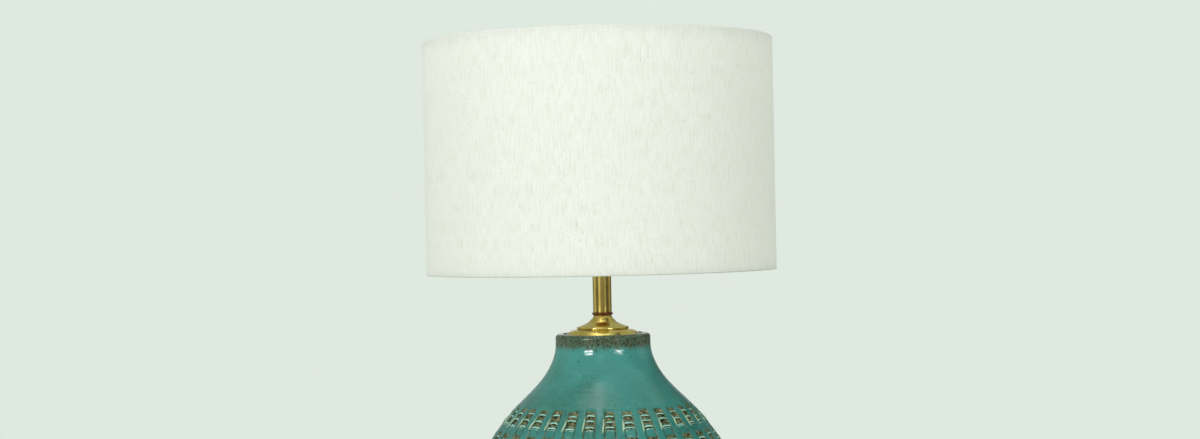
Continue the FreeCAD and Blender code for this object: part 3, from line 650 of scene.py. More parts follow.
def grown(name, points, tree, sockets):
    """The plain mesh that a node tree makes from (radius, height) points in metres, as a new object."""
    source = bpy.data.meshes.new("outline")
    edges = [(i, i + 1) for i in range(len(points) - 1)]
    source.from_pydata([(radius, 0, height) for radius, height in points], edges, [])
    holder = linked_object(name + "_source", source)
    modifier = holder.modifiers.new("grow", "NODES")
    modifier.node_group = tree
    identifiers = {i.name: i.identifier for i in tree.interface.items_tree if i.in_out == "INPUT"}
    for socket_name, _, value in sockets:
        modifier[identifiers[socket_name]] = value
    evaluated = holder.evaluated_get(bpy.context.evaluated_depsgraph_get())
    mesh = bpy.data.meshes.new_from_object(evaluated)
    mesh.name = name
    bpy.data.objects.remove(holder)
    return linked_object(name, mesh)


def ribbed_body(wall):
    """The glazed body: every row of its outline is spun, and pressed in between the ribs."""
    outline = [(r * mm, z * mm) for r, z in body_outline(wall)]
    radii, heights = np.array(wall).T
    band_ends = [band_start * mm, (band_start + band_length) * mm]
    band_top, band_bottom = np.interp(band_ends, lengths_along(radii, heights), heights)
    notch_half = notch_width / 2 * mm
    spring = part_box("ceramic_body")[0].z + notch_height * mm - notch_half
    sockets = [
        ("Ribs", "Float", float(rib_count)), ("Columns", "Int", rib_count * columns_per_rib + 1),
        ("Rows", "Int", len(outline)), ("Rib half", "Float", rib_share / 2), ("Side", "Float", side_share),
        ("Depth", "Float", panel_depth * mm), ("Top", "Float", float(band_top)),
        ("Bottom", "Float", float(band_bottom)), ("Top fade", "Float", band_top_fade * mm),
        ("Fade", "Float", band_fade * mm), ("Wander", "Float", rib_wander),
        ("Notch half", "Float", notch_half), ("Notch spring", "Float", spring),
    ]
    tree, given = geometry_tree("ribbed_body", sockets)

    # a flat grid, whose rows are the outline's points and whose columns go round
    grid = add(tree, "GeometryNodeMeshGrid", {
        "Size X": 1.0, "Size Y": 1.0, "Vertices X": given["Columns"], "Vertices Y": given["Rows"]})
    here = add(tree, "GeometryNodeInputPosition")
    flat = add(tree, "ShaderNodeSeparateXYZ", [here]).outputs
    turn = add(tree, "ShaderNodeMath", [flat["X"], 0.5], operation="ADD")
    angle = add(tree, "ShaderNodeMath", [turn, full_turn], operation="MULTIPLY")
    last_row = add(tree, "ShaderNodeMath", [given["Rows"], 1.0], operation="SUBTRACT")
    row = add(tree, "ShaderNodeMath", [flat["Y"], 0.5], operation="ADD")
    row = add(tree, "ShaderNodeMath", [row, last_row], operation="MULTIPLY")
    row = add(tree, "ShaderNodeMath", [row], operation="ROUND")
    spot = add(
        tree, "GeometryNodeSampleIndex", {"Geometry": given["Geometry"], "Value": here, "Index": row},
        data_type="FLOAT_VECTOR", domain="POINT")
    radius, _, height = add(tree, "ShaderNodeSeparateXYZ", [spot]).outputs
    east = add(tree, "ShaderNodeMath", [angle], operation="COSINE")
    north = add(tree, "ShaderNodeMath", [angle], operation="SINE")

    # how far this point is from its rib's middle, with a hand's wander
    x = add(tree, "ShaderNodeMath", [radius, east], operation="MULTIPLY")
    y = add(tree, "ShaderNodeMath", [radius, north], operation="MULTIPLY")
    place = add(tree, "ShaderNodeCombineXYZ", [x, y, height])
    wobble = add(tree, "ShaderNodeTexNoise", {"Vector": place, "Scale": wander_scale, "Detail": 1.0})
    centred = add(tree, "ShaderNodeMath", [wobble, 0.5], operation="SUBTRACT")
    per_radian = add(tree, "ShaderNodeMath", [given["Ribs"], full_turn], operation="DIVIDE")
    ribs = add(tree, "ShaderNodeMath", [angle, per_radian], operation="MULTIPLY")
    ribs = add(tree, "ShaderNodeMath", [ribs, 0.5 - rib_turn], operation="ADD")
    ribs = add(tree, "ShaderNodeMath", [ribs], operation="FRACT")
    off_rib = add(tree, "ShaderNodeMath", [ribs, 0.5], operation="SUBTRACT")
    off_rib = add(tree, "ShaderNodeMath", [off_rib], operation="ABSOLUTE")
    off_rib = add(tree, "ShaderNodeMath", [centred, given["Wander"], off_rib], operation="MULTIPLY_ADD")

    # pressed in over each panel, between the band's ragged top and its bottom, on the outer wall
    side_end = add(tree, "ShaderNodeMath", [given["Rib half"], given["Side"]], operation="ADD")
    ragged = add(tree, "ShaderNodeMath", [centred, given["Top fade"], given["Top"]], operation="MULTIPLY_ADD")
    top_end = add(tree, "ShaderNodeMath", [ragged, given["Top fade"]], operation="SUBTRACT")
    bottom_end = add(tree, "ShaderNodeMath", [given["Bottom"], given["Fade"]], operation="ADD")
    pressed = add(tree, "ShaderNodeMath", [radius, outer_wall_radius * mm], operation="GREATER_THAN")
    for value, low, high in (
        (off_rib, given["Rib half"], side_end), (height, ragged, top_end),
        (height, given["Bottom"], bottom_end),
    ):
        share = add(tree, "ShaderNodeMapRange", [value, low, high], interpolation_type="SMOOTHSTEP")
        pressed = add(tree, "ShaderNodeMath", [pressed, share], operation="MULTIPLY")
    inwards = add(tree, "ShaderNodeMath", [pressed, given["Depth"]], operation="MULTIPLY")
    radius = add(tree, "ShaderNodeMath", [radius, inwards], operation="SUBTRACT")

    # the arched notch for a cord lifts the foot ring at the back
    x = add(tree, "ShaderNodeMath", [radius, east], operation="MULTIPLY")
    y = add(tree, "ShaderNodeMath", [radius, north], operation="MULTIPLY")
    half = given["Notch half"]
    off_middle = add(tree, "ShaderNodeMath", [x], operation="ABSOLUTE")
    inside = add(tree, "ShaderNodeMath", [off_middle, half], operation="LESS_THAN")
    for value, limit in ((north, 0.5), (radius, notch_inner_radius * mm)):
        past = add(tree, "ShaderNodeMath", [value, limit], operation="GREATER_THAN")
        inside = add(tree, "ShaderNodeMath", [inside, past], operation="MULTIPLY")
    half_squared = add(tree, "ShaderNodeMath", [half, half], operation="MULTIPLY")
    x_squared = add(tree, "ShaderNodeMath", [x, x], operation="MULTIPLY")
    arch = add(tree, "ShaderNodeMath", [half_squared, x_squared], operation="SUBTRACT")
    arch = add(tree, "ShaderNodeMath", [arch, 0.0], operation="MAXIMUM")
    arch = add(tree, "ShaderNodeMath", [arch], operation="SQRT")
    arch = add(tree, "ShaderNodeMath", [arch, given["Notch spring"]], operation="ADD")
    arch = add(tree, "ShaderNodeMath", [arch, inside], operation="MULTIPLY")
    height = add(tree, "ShaderNodeMath", [height, arch], operation="MAXIMUM")

    spun = add(tree, "ShaderNodeCombineXYZ", [x, y, height])
    relief = add(tree, "ShaderNodeMath", [pressed, pressed_relief, rib_relief], operation="MULTIPLY_ADD")
    body = add(
        tree, "GeometryNodeStoreNamedAttribute", {"Geometry": grid, "Name": "relief", "Value": relief},
        data_type="FLOAT", domain="POINT")
    body = add(tree, "GeometryNodeSetPosition", {"Geometry": body, "Position": spun})
    body = add(tree, "GeometryNodeMergeByDistance", {"Geometry": body, "Distance": 0.002 * mm})
    body = add(tree, "GeometryNodeSetShadeSmooth", {"Geometry": body})
    end_tree(tree, body, finishes["glazed_stoneware"])
    return grown("glazed_body", outline, tree, sockets)


def relief_mesh(name, columns, rows, shape, across_scale=1.0):
    """A small patch of clay, shape(across, down) giving (x, y, z, relief, pale), where pale is a painted
    highlight.

    x is a share of a panel, or in millimetres where across_scale is mm."""
    mesh = bpy.data.meshes.new(name)
    points, tones, pales = [], [], []
    for row in range(rows + 1):
        for column in range(columns + 1):
            x, y, z, tone, pale = shape(2 * column / columns - 1, row / rows)
            points.append((x * across_scale, y * mm, z * mm))
            tones.append(tone)
            pales.append(pale)
    wide = columns + 1
    faces = [
        (r * wide + c, (r + 1) * wide + c, (r + 1) * wide + c + 1, r * wide + c + 1)
        for r in range(rows) for c in range(columns)
    ]
    mesh.from_pydata(points, [], faces)
    for label, values in (("relief", tones), ("pale", pales)):
        attribute = mesh.attributes.new(label, "FLOAT", "POINT")
        attribute.data.foreach_set("value", values)
    mesh.shade_smooth()
    return mesh


def tongue(across, down):
    """A notch: clay that rises to an arched, overhanging rim."""
    # each point's third value is its relief: low in the cut under the rim, which paints shade there, and over
    # 1 on the rim, which paints a highlight
    outline = [
        (0.0, -root_depth, 0.02), (1.7, 0.0, 0.06), (2.4, 0.4, 0.38), (5.0, 1.2, 0.48), (7.4, 2.1, 0.54),
        (8.2, 2.6, 0.80), (8.7, 3.0, 1.2), (9.9, 2.9, 1.2), (10.1, 1.4, 0.10), (9.7, -root_depth, 0.02),
    ]
    along, height, tone = outline[round(down * (len(outline) - 1))]
    arch = 2.4 * (1 - abs(across) ** 4)
    side = 1 - abs(across) ** 16
    y = tongue_pitch / 2 - along + (arch - 1.5) * min(1, along / 2)
    z = -root_depth + (height + root_depth) * side
    return across * tongue_half_width, y, z, tone * side + side_relief * (1 - side), 0.0


def tile(across, down):
    """The plain field between two stacks: nearly flush with the ribs, with an arched top."""
    arch = 2.6 * (1 - abs(across) ** 2.4) * (1 - down)
    inset = min(1 - abs(across), min(down, 1 - down) * 1.7) * 7
    on_top = inset > 0.3
    z = -root_depth + (tile_rise + root_depth) * min(1, max(0, inset)) ** 0.5
    y = tile_length / 2 - down * tile_length + arch - 1.0
    # a relief of 1 along the arched top paints a highlight there
    rim = 1.0 if down < 0.2 else rib_relief
    return across * tile_half_width, y, z, rim if on_top else side_relief, 0.0


def burr(across, down):
    """The burr that the tool raised along a stack's left side, with a painted highlight down its crest."""
    swell = math.sin(math.pi * min(1, down * 1.02) ** 1.9) ** 0.7 if 0 < down < 0.98 else 0
    width = 0.35 + 1.55 * swell
    bow = -4.0 * (down - 0.25) ** 2
    rise = 0.7
    z = -rise + rise * (1 + swell) * (1 - across * across) * (0.3 + 0.7 * swell)
    # painted highlight: pale down the burr's crest
    pale = min(1, 1.3 * swell) * (1 - abs(across) ** 3)
    return across * width + bow, burr_length * (0.5 - down), z, rib_relief, pale


def carved_rows(name, wall, patch, start, per_stack, sink, shift, stretch, jitter):
    """Copies of a patch down every panel of the band, laid on the wall by its tangent.

    stretch 1 fits the patch to its panel's width, and 0 keeps its own."""
    sockets = [
        ("Patch", "Object", patch), ("Columns", "Float", float(rib_count)),
        ("Stacks", "Float", float(stack_count)), ("Per stack", "Float", float(per_stack)),
        ("Start", "Float", (stack_start + start) * mm),
        ("Pitch", "Float", tongue_pitch * mm), ("Stack pitch", "Float", stack_pitch * mm),
        ("Sink", "Float", sink * mm), ("Shift", "Float", shift), ("Stretch", "Float", stretch),
        ("Jitter", "Float", jitter), ("Wobble", "Float", hand_wobble * mm), ("Seed", "Int", 4),
    ]
    tree, given = geometry_tree(name, sockets)

    # one point for each copy, numbered round the body first and then down it
    count = add(tree, "ShaderNodeMath", [given["Columns"], given["Stacks"]], operation="MULTIPLY")
    count = add(tree, "ShaderNodeMath", [count, given["Per stack"]], operation="MULTIPLY")
    points = add(tree, "GeometryNodePoints", {"Count": count})
    index = add(tree, "GeometryNodeInputIndex")
    column = add(tree, "ShaderNodeMath", [index, given["Columns"]], operation="MODULO")
    level = add(tree, "ShaderNodeMath", [index, given["Columns"]], operation="DIVIDE")
    level = add(tree, "ShaderNodeMath", [level], operation="FLOOR")
    stack = add(tree, "ShaderNodeMath", [level, given["Per stack"]], operation="DIVIDE")
    stack = add(tree, "ShaderNodeMath", [stack], operation="FLOOR")
    step = add(tree, "ShaderNodeMath", [level, given["Per stack"]], operation="MODULO")

    # the hand's chances: how far down, how wide, alike down a column, how tall and how deep
    lower = add(tree, "ShaderNodeMath", [given["Jitter"], -stack_jitter * mm], operation="MULTIPLY")
    upper = add(tree, "ShaderNodeMath", [given["Jitter"], stack_jitter * mm], operation="MULTIPLY")
    least = add(tree, "ShaderNodeMath", [1.0, given["Jitter"]], operation="SUBTRACT")
    tallest = add(tree, "ShaderNodeMath", [given["Jitter"], 0.5, 1.0], operation="MULTIPLY_ADD")
    shallowest = add(tree, "ShaderNodeMath", [given["Jitter"], -1.5, 1.0], operation="MULTIPLY_ADD")
    chances = []
    for number, (low, high, alike) in enumerate((
        (lower, upper, {}), (least, 1.04, {"ID": column}), (least, tallest, {}), (shallowest, 1.0, {}),
    )):
        seed = add(tree, "ShaderNodeMath", [given["Seed"], float(number)], operation="ADD")
        inputs = {"Min": low, "Max": high, "Seed": seed, **alike}
        chances.append(add(tree, "FunctionNodeRandomValue", inputs, data_type="FLOAT"))
    strayed, widened, tall, deep = chances

    # down the wall's outline, round the body, and sunk under the wall
    down = add(tree, "ShaderNodeMath", [step, given["Pitch"]], operation="MULTIPLY")
    down = add(tree, "ShaderNodeMath", [stack, given["Stack pitch"], down], operation="MULTIPLY_ADD")
    down = add(tree, "ShaderNodeMath", [given["Start"], down], operation="ADD")
    down = add(tree, "ShaderNodeMath", [down, strayed], operation="ADD")
    curve = add(tree, "GeometryNodeMeshToCurve", [given["Geometry"]])
    sampled = add(tree, "GeometryNodeSampleCurve", {"Curves": curve, "Length": down}, mode="LENGTH").outputs
    spacing = add(tree, "ShaderNodeMath", [full_turn, given["Columns"]], operation="DIVIDE")
    turn = add(tree, "ShaderNodeMath", [column, 0.5 + rib_turn], operation="ADD")
    turn = add(tree, "ShaderNodeMath", [turn, given["Shift"]], operation="ADD")
    turn = add(tree, "ShaderNodeMath", [turn, spacing], operation="MULTIPLY")
    spot, tangent, around = [
        add(tree, "ShaderNodeVectorRotate", {"Vector": vector, "Angle": turn}, rotation_type="Z_AXIS")
        for vector in (sampled["Position"], sampled["Tangent"], (0.0, 1.0, 0.0))
    ]
    outward = add(tree, "ShaderNodeVectorMath", [tangent, around], operation="CROSS_PRODUCT")
    under = add(tree, "ShaderNodeMath", [given["Sink"], -1.0], operation="MULTIPLY")
    sunk = add(tree, "ShaderNodeVectorMath", [outward, under], operation="SCALE")
    place = add(tree, "ShaderNodeVectorMath", [spot, sunk], operation="ADD")
    facing = add(
        tree, "FunctionNodeAxesToRotation", [outward, around], primary_axis="Z", secondary_axis="X")

    # as wide as its panel, where it stretches
    radius = add(tree, "ShaderNodeSeparateXYZ", [sampled["Position"]]).outputs["X"]
    width = add(tree, "ShaderNodeMath", [radius, spacing], operation="MULTIPLY")
    width = add(tree, "ShaderNodeMath", [width, panel_share], operation="MULTIPLY")
    width = add(tree, "ShaderNodeMath", [width, given["Stretch"]], operation="MULTIPLY")
    own_width = add(tree, "ShaderNodeMath", [1.0, given["Stretch"]], operation="SUBTRACT")
    width = add(tree, "ShaderNodeMath", [width, own_width], operation="ADD")
    width = add(tree, "ShaderNodeMath", [width, widened], operation="MULTIPLY")
    size = add(tree, "ShaderNodeCombineXYZ", [width, tall, deep])
    shape = add(tree, "GeometryNodeObjectInfo", {"Object": given["Patch"]}).outputs["Geometry"]
    placed = add(tree, "GeometryNodeSetPosition", {"Geometry": points, "Position": place})
    copies = add(tree, "GeometryNodeInstanceOnPoints", {
        "Points": placed, "Instance": shape, "Rotation": facing, "Scale": size})
    real = add(tree, "GeometryNodeRealizeInstances", [copies])

    # every corner nudged, as an unsteady hand would
    here = add(tree, "GeometryNodeInputPosition")
    wobble = add(tree, "ShaderNodeTexNoise", {"Vector": here, "Scale": wobble_scale, "Detail": 1.0})
    centred = add(
        tree, "ShaderNodeVectorMath", [wobble.outputs["Color"], (0.5, 0.5, 0.5)], operation="SUBTRACT")
    nudge = add(tree, "ShaderNodeVectorMath", [centred, given["Wobble"]], operation="SCALE")
    cut = add(tree, "GeometryNodeSetPosition", {"Geometry": real, "Offset": nudge})
    end_tree(tree, cut, finishes["glazed_stoneware"])
    return grown(name, wall, tree, sockets)


def dress_body():
    """The body with its carved notches, tiles and burrs."""
    radii, heights = wall_outline()
    wall = spaced(radii, heights, wall_row * mm)
    fine_wall = spaced(radii, heights, 1.0 * mm)
    settle(ribbed_body(wall), "root", "glazed_stoneware", "ceramic_body")
    tongue_patch = relief_mesh("tongue", 10, 9, tongue)
    tile_patch = relief_mesh("tile", 8, 7, tile)
    burr_patch = relief_mesh("burr", 4, 9, burr, mm)
    # name, mesh, start, copies in a stack, sink, shift, stretch, jitter
    for name, mesh, *values in (
        ("notch_tongues", tongue_patch, tongue_start, tongues_per_stack, panel_depth, 0.0, 1.0, 0.16),
        ("notch_tiles", tile_patch, tile_start, 1, panel_depth, 0.0, 1.0, 0.04),
        ("rib_burrs", burr_patch, burr_start, 1, 0.0, burr_shift, 0.0, 0.14),
    ):
        patch = linked_object(name + "_patch", mesh)
        settle(carved_rows(name, fine_wall, patch, *values), "root", "glazed_stoneware")
        bpy.data.objects.remove(patch)


# Brass stack on the mouth

def beaded_ring(name, node, slot, steps, segments):
    """A ring on the lamp pipe with a half-round outside."""
    radius, low, high = levels(node)
    half = (high - low) / 2
    outline = [(pipe_clearance_radius, low), (radius - half, low)]
    outline += arc(radius - half, low + half, half, -90, 90, steps) + [(pipe_clearance_radius, high)]
    settle(turned(name, outline, segments), "root", slot, node)


def dress_stack():
    """The cap, the flared spindle, the bead, the neck tube and the ring over it."""
    pipe = pipe_clearance_radius
    radius, low, high = levels("vase_cap")
    rim = 0.7
    crown = [(36, high), (39, high - 0.7), (43.6, high - 2.8), (47.4, high - 6.0), (radius - rim, low + 1.2)]
    outline = [(pipe, high)] + smooth_run(crown) + arc(radius - rim, low + rim, rim, 30, -90, 4)
    outline += [(radius - 2, low), (35, high - 1), (pipe, high - 1)]
    settle(turned("spun_cap", outline, 160), "root", "satin_brass", "vase_cap")

    radius, low, high = levels("flared_spindle")
    bead = 1.8
    flare = [(radius - 2.4, low + 3.5), (30.1, low + 4.3), (23.6, low + 6.9), (18.3, low + 9.5),
             (15.7, low + 12.2), (13.1, low + 14.8), (11.8, high - 0.6)]
    outline = [(pipe, low), (radius - bead, low)] + arc(radius - bead, low + bead, bead, -90, 75, 10)
    outline += smooth_run(flare) + [(11.4, high), (pipe, high)]
    settle(turned("flared_foot", outline, 160), "root", "satin_brass", "flared_spindle")

    beaded_ring("neck_bead", "neck_ring", "bronzed_brass", 12, 128)

    radius, low, high = levels("neck_tube")
    outline = [(radius - 1, low), (radius - 0.2, low), (radius, low + 0.2)]
    outline += [(radius, high - 0.2), (radius - 0.2, high), (radius - 1, high)]
    settle(turned("neck_sleeve", outline, 128), "root", "satin_brass", "neck_tube")

    beaded_ring("check_bead", "check_ring", "satin_brass", 8, 96)


# Fittings inside the shade and under the body

def dress_pipe():
    """The lamp pipe, threaded where it comes out under the nut."""
    radius, low, high = levels("threaded_pipe")
    thread_end = low + pipe_thread_length
    rows = rows_between(radius, low + 0.4, thread_end, pipe_pitch / 5)
    outline = [(pipe_bore_radius, high), (pipe_bore_radius, low), (radius - 0.6, low)] + rows
    outline += [(radius, high - 0.4), (radius - 0.4, high)]
    groove = thread(pipe_pitch, 0.45, lambda reach, height: reach > pipe_bore_radius and height < thread_end)
    settle(turned("cut_pipe", outline, 48, ripple=groove), "root", "zinc_steel", "threaded_pipe")


def dress_socket():
    """The socket's cap and rolled rims, the fluted knob and the bulb's threaded base."""
    radius, low, high = levels("socket_cap")
    pipe, skin = pipe_clearance_radius, 0.8
    bowl = [(10.4, low), (11.4, low + 0.4), (13.6, low + 4), (16.1, low + 8.2), (17.7, low + 10.9)]
    outline = [(pipe, low)] + smooth_run(bowl + [(radius, low + 12.6)])
    outline += [(radius, high - 0.5), (radius - 0.3, high), (radius - skin, high)]
    outline += [(radius - skin, low + 12.4), (8.5, low + 6), (pipe, low + 6)]
    settle(turned("spun_socket_cap", outline), "root", "bright_brass", "socket_cap")

    radius, low, high = levels("socket_shell")
    back = radius - 0.5
    for name, height in (
        ("shell_rim", high - bead_radius), ("shell_bead", high - 5.0), ("shell_lower_bead", low + 24.0),
    ):
        roll = arc(radius - 0.15, height, bead_radius, -90, 90, 8)
        outline = [(back, height - bead_radius)] + roll + [(back, height + bead_radius)]
        settle(turned(name, outline), "root", "bright_brass")

    low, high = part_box("switch_knob")
    radius, length = (high.x - low.x) / 2 / mm, (high.y - low.y) / mm
    turn = Matrix.Rotation(math.pi / 2, 4, "X")
    place = Matrix.Translation((0, high.y, (low.z + high.z) / 2)) @ turn
    bore, depth = 2.05, 9.0
    outline = [(0, depth), (bore, depth), (bore, 0), (4.2, 0), (4.6, 0.4), (4.6, 3.7), (5.9, 4.4)]
    outline += rows_between(radius, 5.0, length - 1.0, 1.5)
    outline += [(radius - 0.3, length - 0.35), (radius - 1.0, length), (0, length)]

    def flutes(angle, reach, height):
        return -0.16 * (1 - math.cos(knob_flutes * angle)) if reach > radius - 0.2 else 0

    settle(turned("fluted_knob", outline, 144, place, flutes), "switch_knob", "phenolic", "switch_knob")

    radius, base, top = levels("bulb_base")
    outline = [(0, base), (4.0, base), (radius - 1.6, base + 2.9), (radius - 0.7, base + 3.4)]
    outline += rows_between(radius, base + 4.2, top - 1.6, 0.45) + [(radius, top), (0, top)]
    groove = thread(bulb_pitch, 0.9, lambda reach, height: base + 4 < height < top - 1.5)
    settle(turned("bulb_cap", outline, 72, ripple=groove), "bulb", "nickelled_brass", "bulb_base")


def dress_harp():
    """The ferrules, the threaded stud on its seat and the finial."""
    for side in ("left", "right"):
        low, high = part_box("harp_ferrule_" + side)
        outer, length = (high.x - low.x) / 2 / mm, (high.z - low.z) / mm
        bore, waist, edge = outer - 0.9, outer - 0.25, 0.5
        outline = [(bore, length - 0.2), (bore, 0.2), (bore + 0.2, 0)]
        outline += arc(outer - edge, edge, edge, -90, 0, 4)
        outline += [(outer, 2.0), (waist, 2.3), (waist, length - 2.3), (outer, length - 2.0)]
        outline += arc(outer - edge, length - edge, edge, 0, 90, 4) + [(bore + 0.2, length)]
        place = Matrix.Translation(((low.x + high.x) / 2, 0, low.z))
        ferrule = turned("ferrule_" + side, outline, 48, place)
        settle(ferrule, "ferrule_" + side, "brassed_steel", "harp_ferrule_" + side)

    radius, base, top = levels("harp_stud")
    seat = base + 2
    outline = [(0, base), (radius - 0.4, base), (radius, base + 0.4)]
    outline += [(radius, seat - 0.4), (radius - 0.4, seat), (stud_radius, seat)]
    outline += rows_between(stud_radius, seat + 1.2, top - 0.6, stud_pitch / 5)
    outline += [(stud_radius - 0.6, top), (0, top)]
    groove = thread(stud_pitch, 0.5, lambda reach, height: reach <= stud_radius and height > seat + 1)
    settle(turned("threaded_stud", outline, 64, ripple=groove), "root", "brassed_steel", "harp_stud")

    radius, low, _ = levels("finial")
    profile = [(8.1, 0), (8.5, 0.5), (8.5, 2.2), (7.9, 2.9), (6.1, 3.9), (5.1, 6.2), (5.0, 9), (5.6, 12),
               (7.8, 14.6), (9.3, 18), (radius, 21), (8.9, 24.4), (7.2, 27.6), (4.7, 29.8), (2.2, 30.8),
               (0, 31)]
    bore, bore_end = stud_radius + 0.1, top + 1
    outline = [(0, bore_end), (bore, bore_end), (bore, low)] + [(r, low + z) for r, z in smooth_run(profile)]
    settle(turned("turned_finial", outline, sharp=60), "finial", "satin_brass", "finial")


# Shade

def drum(name, outline, segments, thickness, start=0.0, span=full_turn):
    """A thin sheet bent round the lamp from an open (radius, height) outline, with cloth UVs in metres."""
    closed = span >= full_turn
    wide = segments if closed else segments + 1
    vertices, faces = [], []
    for radius, height in outline:
        for index in range(wide):
            angle = start + span * index / segments
            vertices.append((radius * mm * math.cos(angle), radius * mm * math.sin(angle), height * mm))
    for row in range(len(outline) - 1):
        low, high = row * wide, (row + 1) * wide
        for index in range(segments):
            after = (index + 1) % wide
            faces.append((low + index, low + after, high + after, high + index))
    piece = mesh_piece(name, vertices, faces)
    radii, heights = np.array(outline).T * mm
    lengths = lengths_along(radii, heights)
    cloth = piece.data.uv_layers.new(name="cloth")
    column_width = max(radii) * span / segments
    for number, face in enumerate(piece.data.polygons):
        row, index = divmod(number, segments)
        corners = [(index, row), (index + 1, row), (index + 1, row + 1), (index, row + 1)]
        for loop, (column, level) in zip(face.loop_indices, corners):
            cloth.data[loop].uv = (column * column_width, lengths[level])
    wall = piece.modifiers.new("cloth", "SOLIDIFY")
    wall.thickness = thickness * mm
    wall.offset = -1.0
    return piece


def dress_shade():
    """The linen cover with its rolled hems and its seam, on the liner that CAD gives."""
    radius, low, high = levels("shade_linen")
    inner = radius - drum_wall
    roll = hem_roll_radius
    outline = [(inner, low + hem_turn_in), (inner, low + roll)]
    outline += arc(inner + roll, low + roll, roll, 180, 270, 5)[1:]
    outline += arc(radius - roll, low + roll, roll, 270, 360, 5)
    outline += [(radius, low + (high - low) * i / 12) for i in range(1, 12)]
    outline += arc(radius - roll, high - roll, roll, 0, 90, 5)
    outline += arc(inner + roll, high - roll, roll, 90, 180, 5)
    outline += [(inner, high - hem_turn_in)]
    cover = drum("linen_cover", outline, cover_segments, linen_thickness)
    settle(cover, "shade", "linen", "shade_linen")

    # the seam stands at the back
    seam_angle = seam_width / radius
    seam_radius = radius + seam_height
    outline = [(seam_radius, low + 0.5), (seam_radius, high - 0.5)]
    seam = drum("linen_seam", outline, 6, seam_thickness, math.pi / 2 - seam_angle / 2, seam_angle)
    settle(seam, "shade", "linen")


# Plain finishes for the CAD nodes that stay

def dress_nodes():
    """Puts each slot's finish on the CAD nodes that are left showing."""
    slots = {part["node"]: part["material_slot"] for part in frame["record"]["subparts"]}
    for name, node in frame["nodes"].items():
        node.data.materials.clear()
        node.data.materials.append(finishes[slots[name]])


# Studio

def pale_floor():
    """A pale paper floor that fades into the backdrop."""
    bpy.ops.mesh.primitive_circle_add(vertices=128, radius=floor_radius, fill_type="TRIFAN")
    floor = bpy.context.object
    floor.name = "floor"
    floor.location.z = -floor_drop
    material, tree, place = new_material("pale_paper_floor")
    away = add(tree, "ShaderNodeVectorMath", [place], operation="LENGTH")
    fade = add(tree, "ShaderNodeMapRange", [away, fade_start, fade_end], interpolation_type="SMOOTHSTEP")
    paper = add(tree, "ShaderNodeBsdfDiffuse", {"Color": floor_paper, "Roughness": 0.8})
    glow = add(tree, "ShaderNodeEmission", {"Color": backdrop, "Strength": 1.0})
    both = add(tree, "ShaderNodeMixShader", [fade, paper, glow])
    add(tree, "ShaderNodeOutputMaterial", {"Surface": both})
    floor.data.materials.append(material)


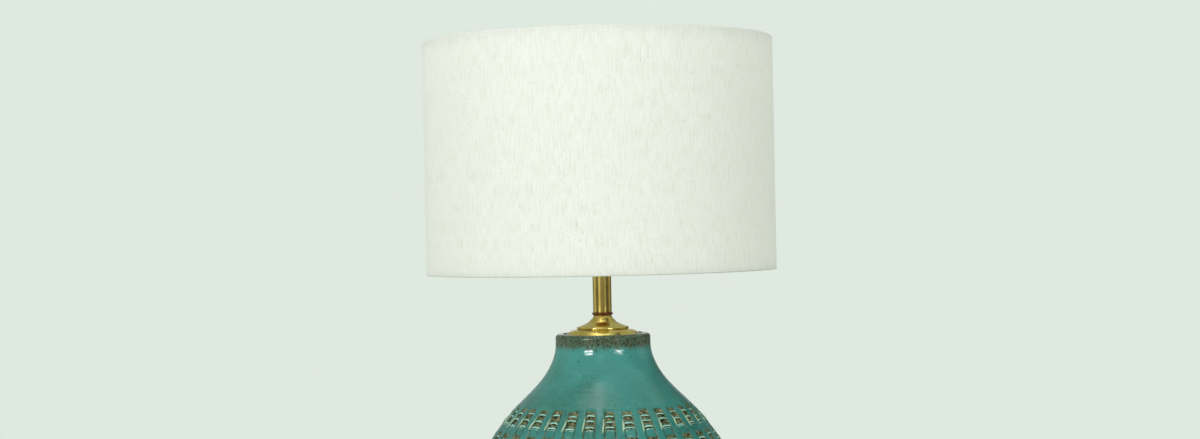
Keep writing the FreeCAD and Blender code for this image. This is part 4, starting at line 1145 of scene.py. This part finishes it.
def surroundings():
    """The world: soft light on the lamp, a room in its polished pieces, and a plain backdrop."""
    world = bpy.data.worlds.new("studio")
    bpy.context.scene.world = world
    world.use_nodes = True
    tree = world.node_tree
    tree.nodes.clear()
    ray = add(tree, "ShaderNodeLightPath").outputs
    direction = add(tree, "ShaderNodeTexCoord").outputs["Generated"]
    x, y, z = add(tree, "ShaderNodeSeparateXYZ", [direction]).outputs
    left_to_right = add(tree, "ShaderNodeMath", [x, 0.5, 0.5], operation="MULTIPLY_ADD")

    # polished pieces see a bright backdrop behind the lamp, pale sides, and a dim room
    # with two tall reflectors in front, under a sky with one bright stripe
    towards = add(tree, "ShaderNodeMath", [y, -1.0], operation="MULTIPLY")
    round_lamp = add(tree, "ShaderNodeMath", [x, towards], operation="ARCTAN2")
    share = add(tree, "ShaderNodeMath", [round_lamp, 1 / full_turn, 0.5], operation="MULTIPLY_ADD")
    walls = [(degrees / 360 + 0.5, colour) for degrees, colour in mirrored_room]
    room = add(tree, "ShaderNodeValToRGB", [share], walls)
    stripe = [(0.34, "a4a89e"), (0.46, "ffffff"), (0.53, "b8bcb2"), (0.68, "4c514c")]
    sky = add(tree, "ShaderNodeValToRGB", [left_to_right], stripe)
    room = painted(tree, room, sky, z, (0.12, "000000"), (0.5, "ffffff"))
    # a lit ceiling over the open shade
    ceiling = add(tree, "ShaderNodeMapRange", [z, 0.86, 0.95, 1.0, 2.4])
    mirrored = add(tree, "ShaderNodeBackground", {"Color": room, "Strength": ceiling})

    side_light = add(tree, "ShaderNodeValToRGB", [left_to_right], [(0.15, "fbfdf9"), (0.85, "d6dad5")])
    ambient = add(tree, "ShaderNodeBackground", {"Color": side_light, "Strength": 1.0})
    shown = add(tree, "ShaderNodeBackground", {"Color": backdrop, "Strength": 1.0})
    lit = add(tree, "ShaderNodeMixShader", [ray["Is Glossy Ray"], ambient, mirrored])
    seen = add(
        tree, "ShaderNodeMath", [ray["Is Camera Ray"], ray["Is Transmission Ray"]], operation="MAXIMUM")
    both = add(tree, "ShaderNodeMixShader", [seen, lit, shown])
    add(tree, "ShaderNodeOutputWorld", {"Surface": both})


def softboxes():
    """Two soft lights in front, the left one stronger."""
    rise = math.tan(math.radians(softbox_rise))
    for name, degrees, power in (("left_softbox", -35, 23.5), ("right_softbox", 37.5, 16.5)):
        turn = math.radians(degrees)
        away = Vector((math.sin(turn), -math.cos(turn), rise)) * softbox_distance
        lamp = bpy.data.lights.new(name, "AREA")
        lamp.shape = "RECTANGLE"
        lamp.size = softbox_width
        lamp.size_y = softbox_height
        lamp.energy = power
        holder = linked_object(name, lamp)
        holder.location = lit_point + away
        holder.rotation_euler = away.to_track_quat("Z", "Y").to_euler()


def photo_camera():
    """The photograph's camera: level, a little above the neck's middle, with the image's own roll."""
    data = bpy.data.cameras.new("photo_camera")
    data.lens = focal_pixels / image_width * sensor_width
    data.sensor_width = sensor_width
    camera = linked_object("photo_camera", data)
    bpy.context.scene.camera = camera
    aside = (axis_column - image_width / 2) / focal_pixels * camera_distance
    height = levels("ceramic_body")[2] + camera_above_lip
    camera.location = Vector((-aside, -camera_distance, height)) * mm
    pitch = math.atan((horizon_row - image_height / 2) / focal_pixels)
    level = Matrix.Rotation(math.pi / 2 + pitch, 4, "X")
    roll = Matrix.Rotation(math.radians(-image_roll), 4, "Z")
    camera.rotation_euler = (level @ roll).to_euler()


photo_camera()
dress_nodes()
dress_body()
dress_stack()
dress_pipe()
dress_socket()
dress_harp()
dress_shade()
pale_floor()
surroundings()
softboxes()
bpy.context.scene.view_settings.view_transform = "Standard"
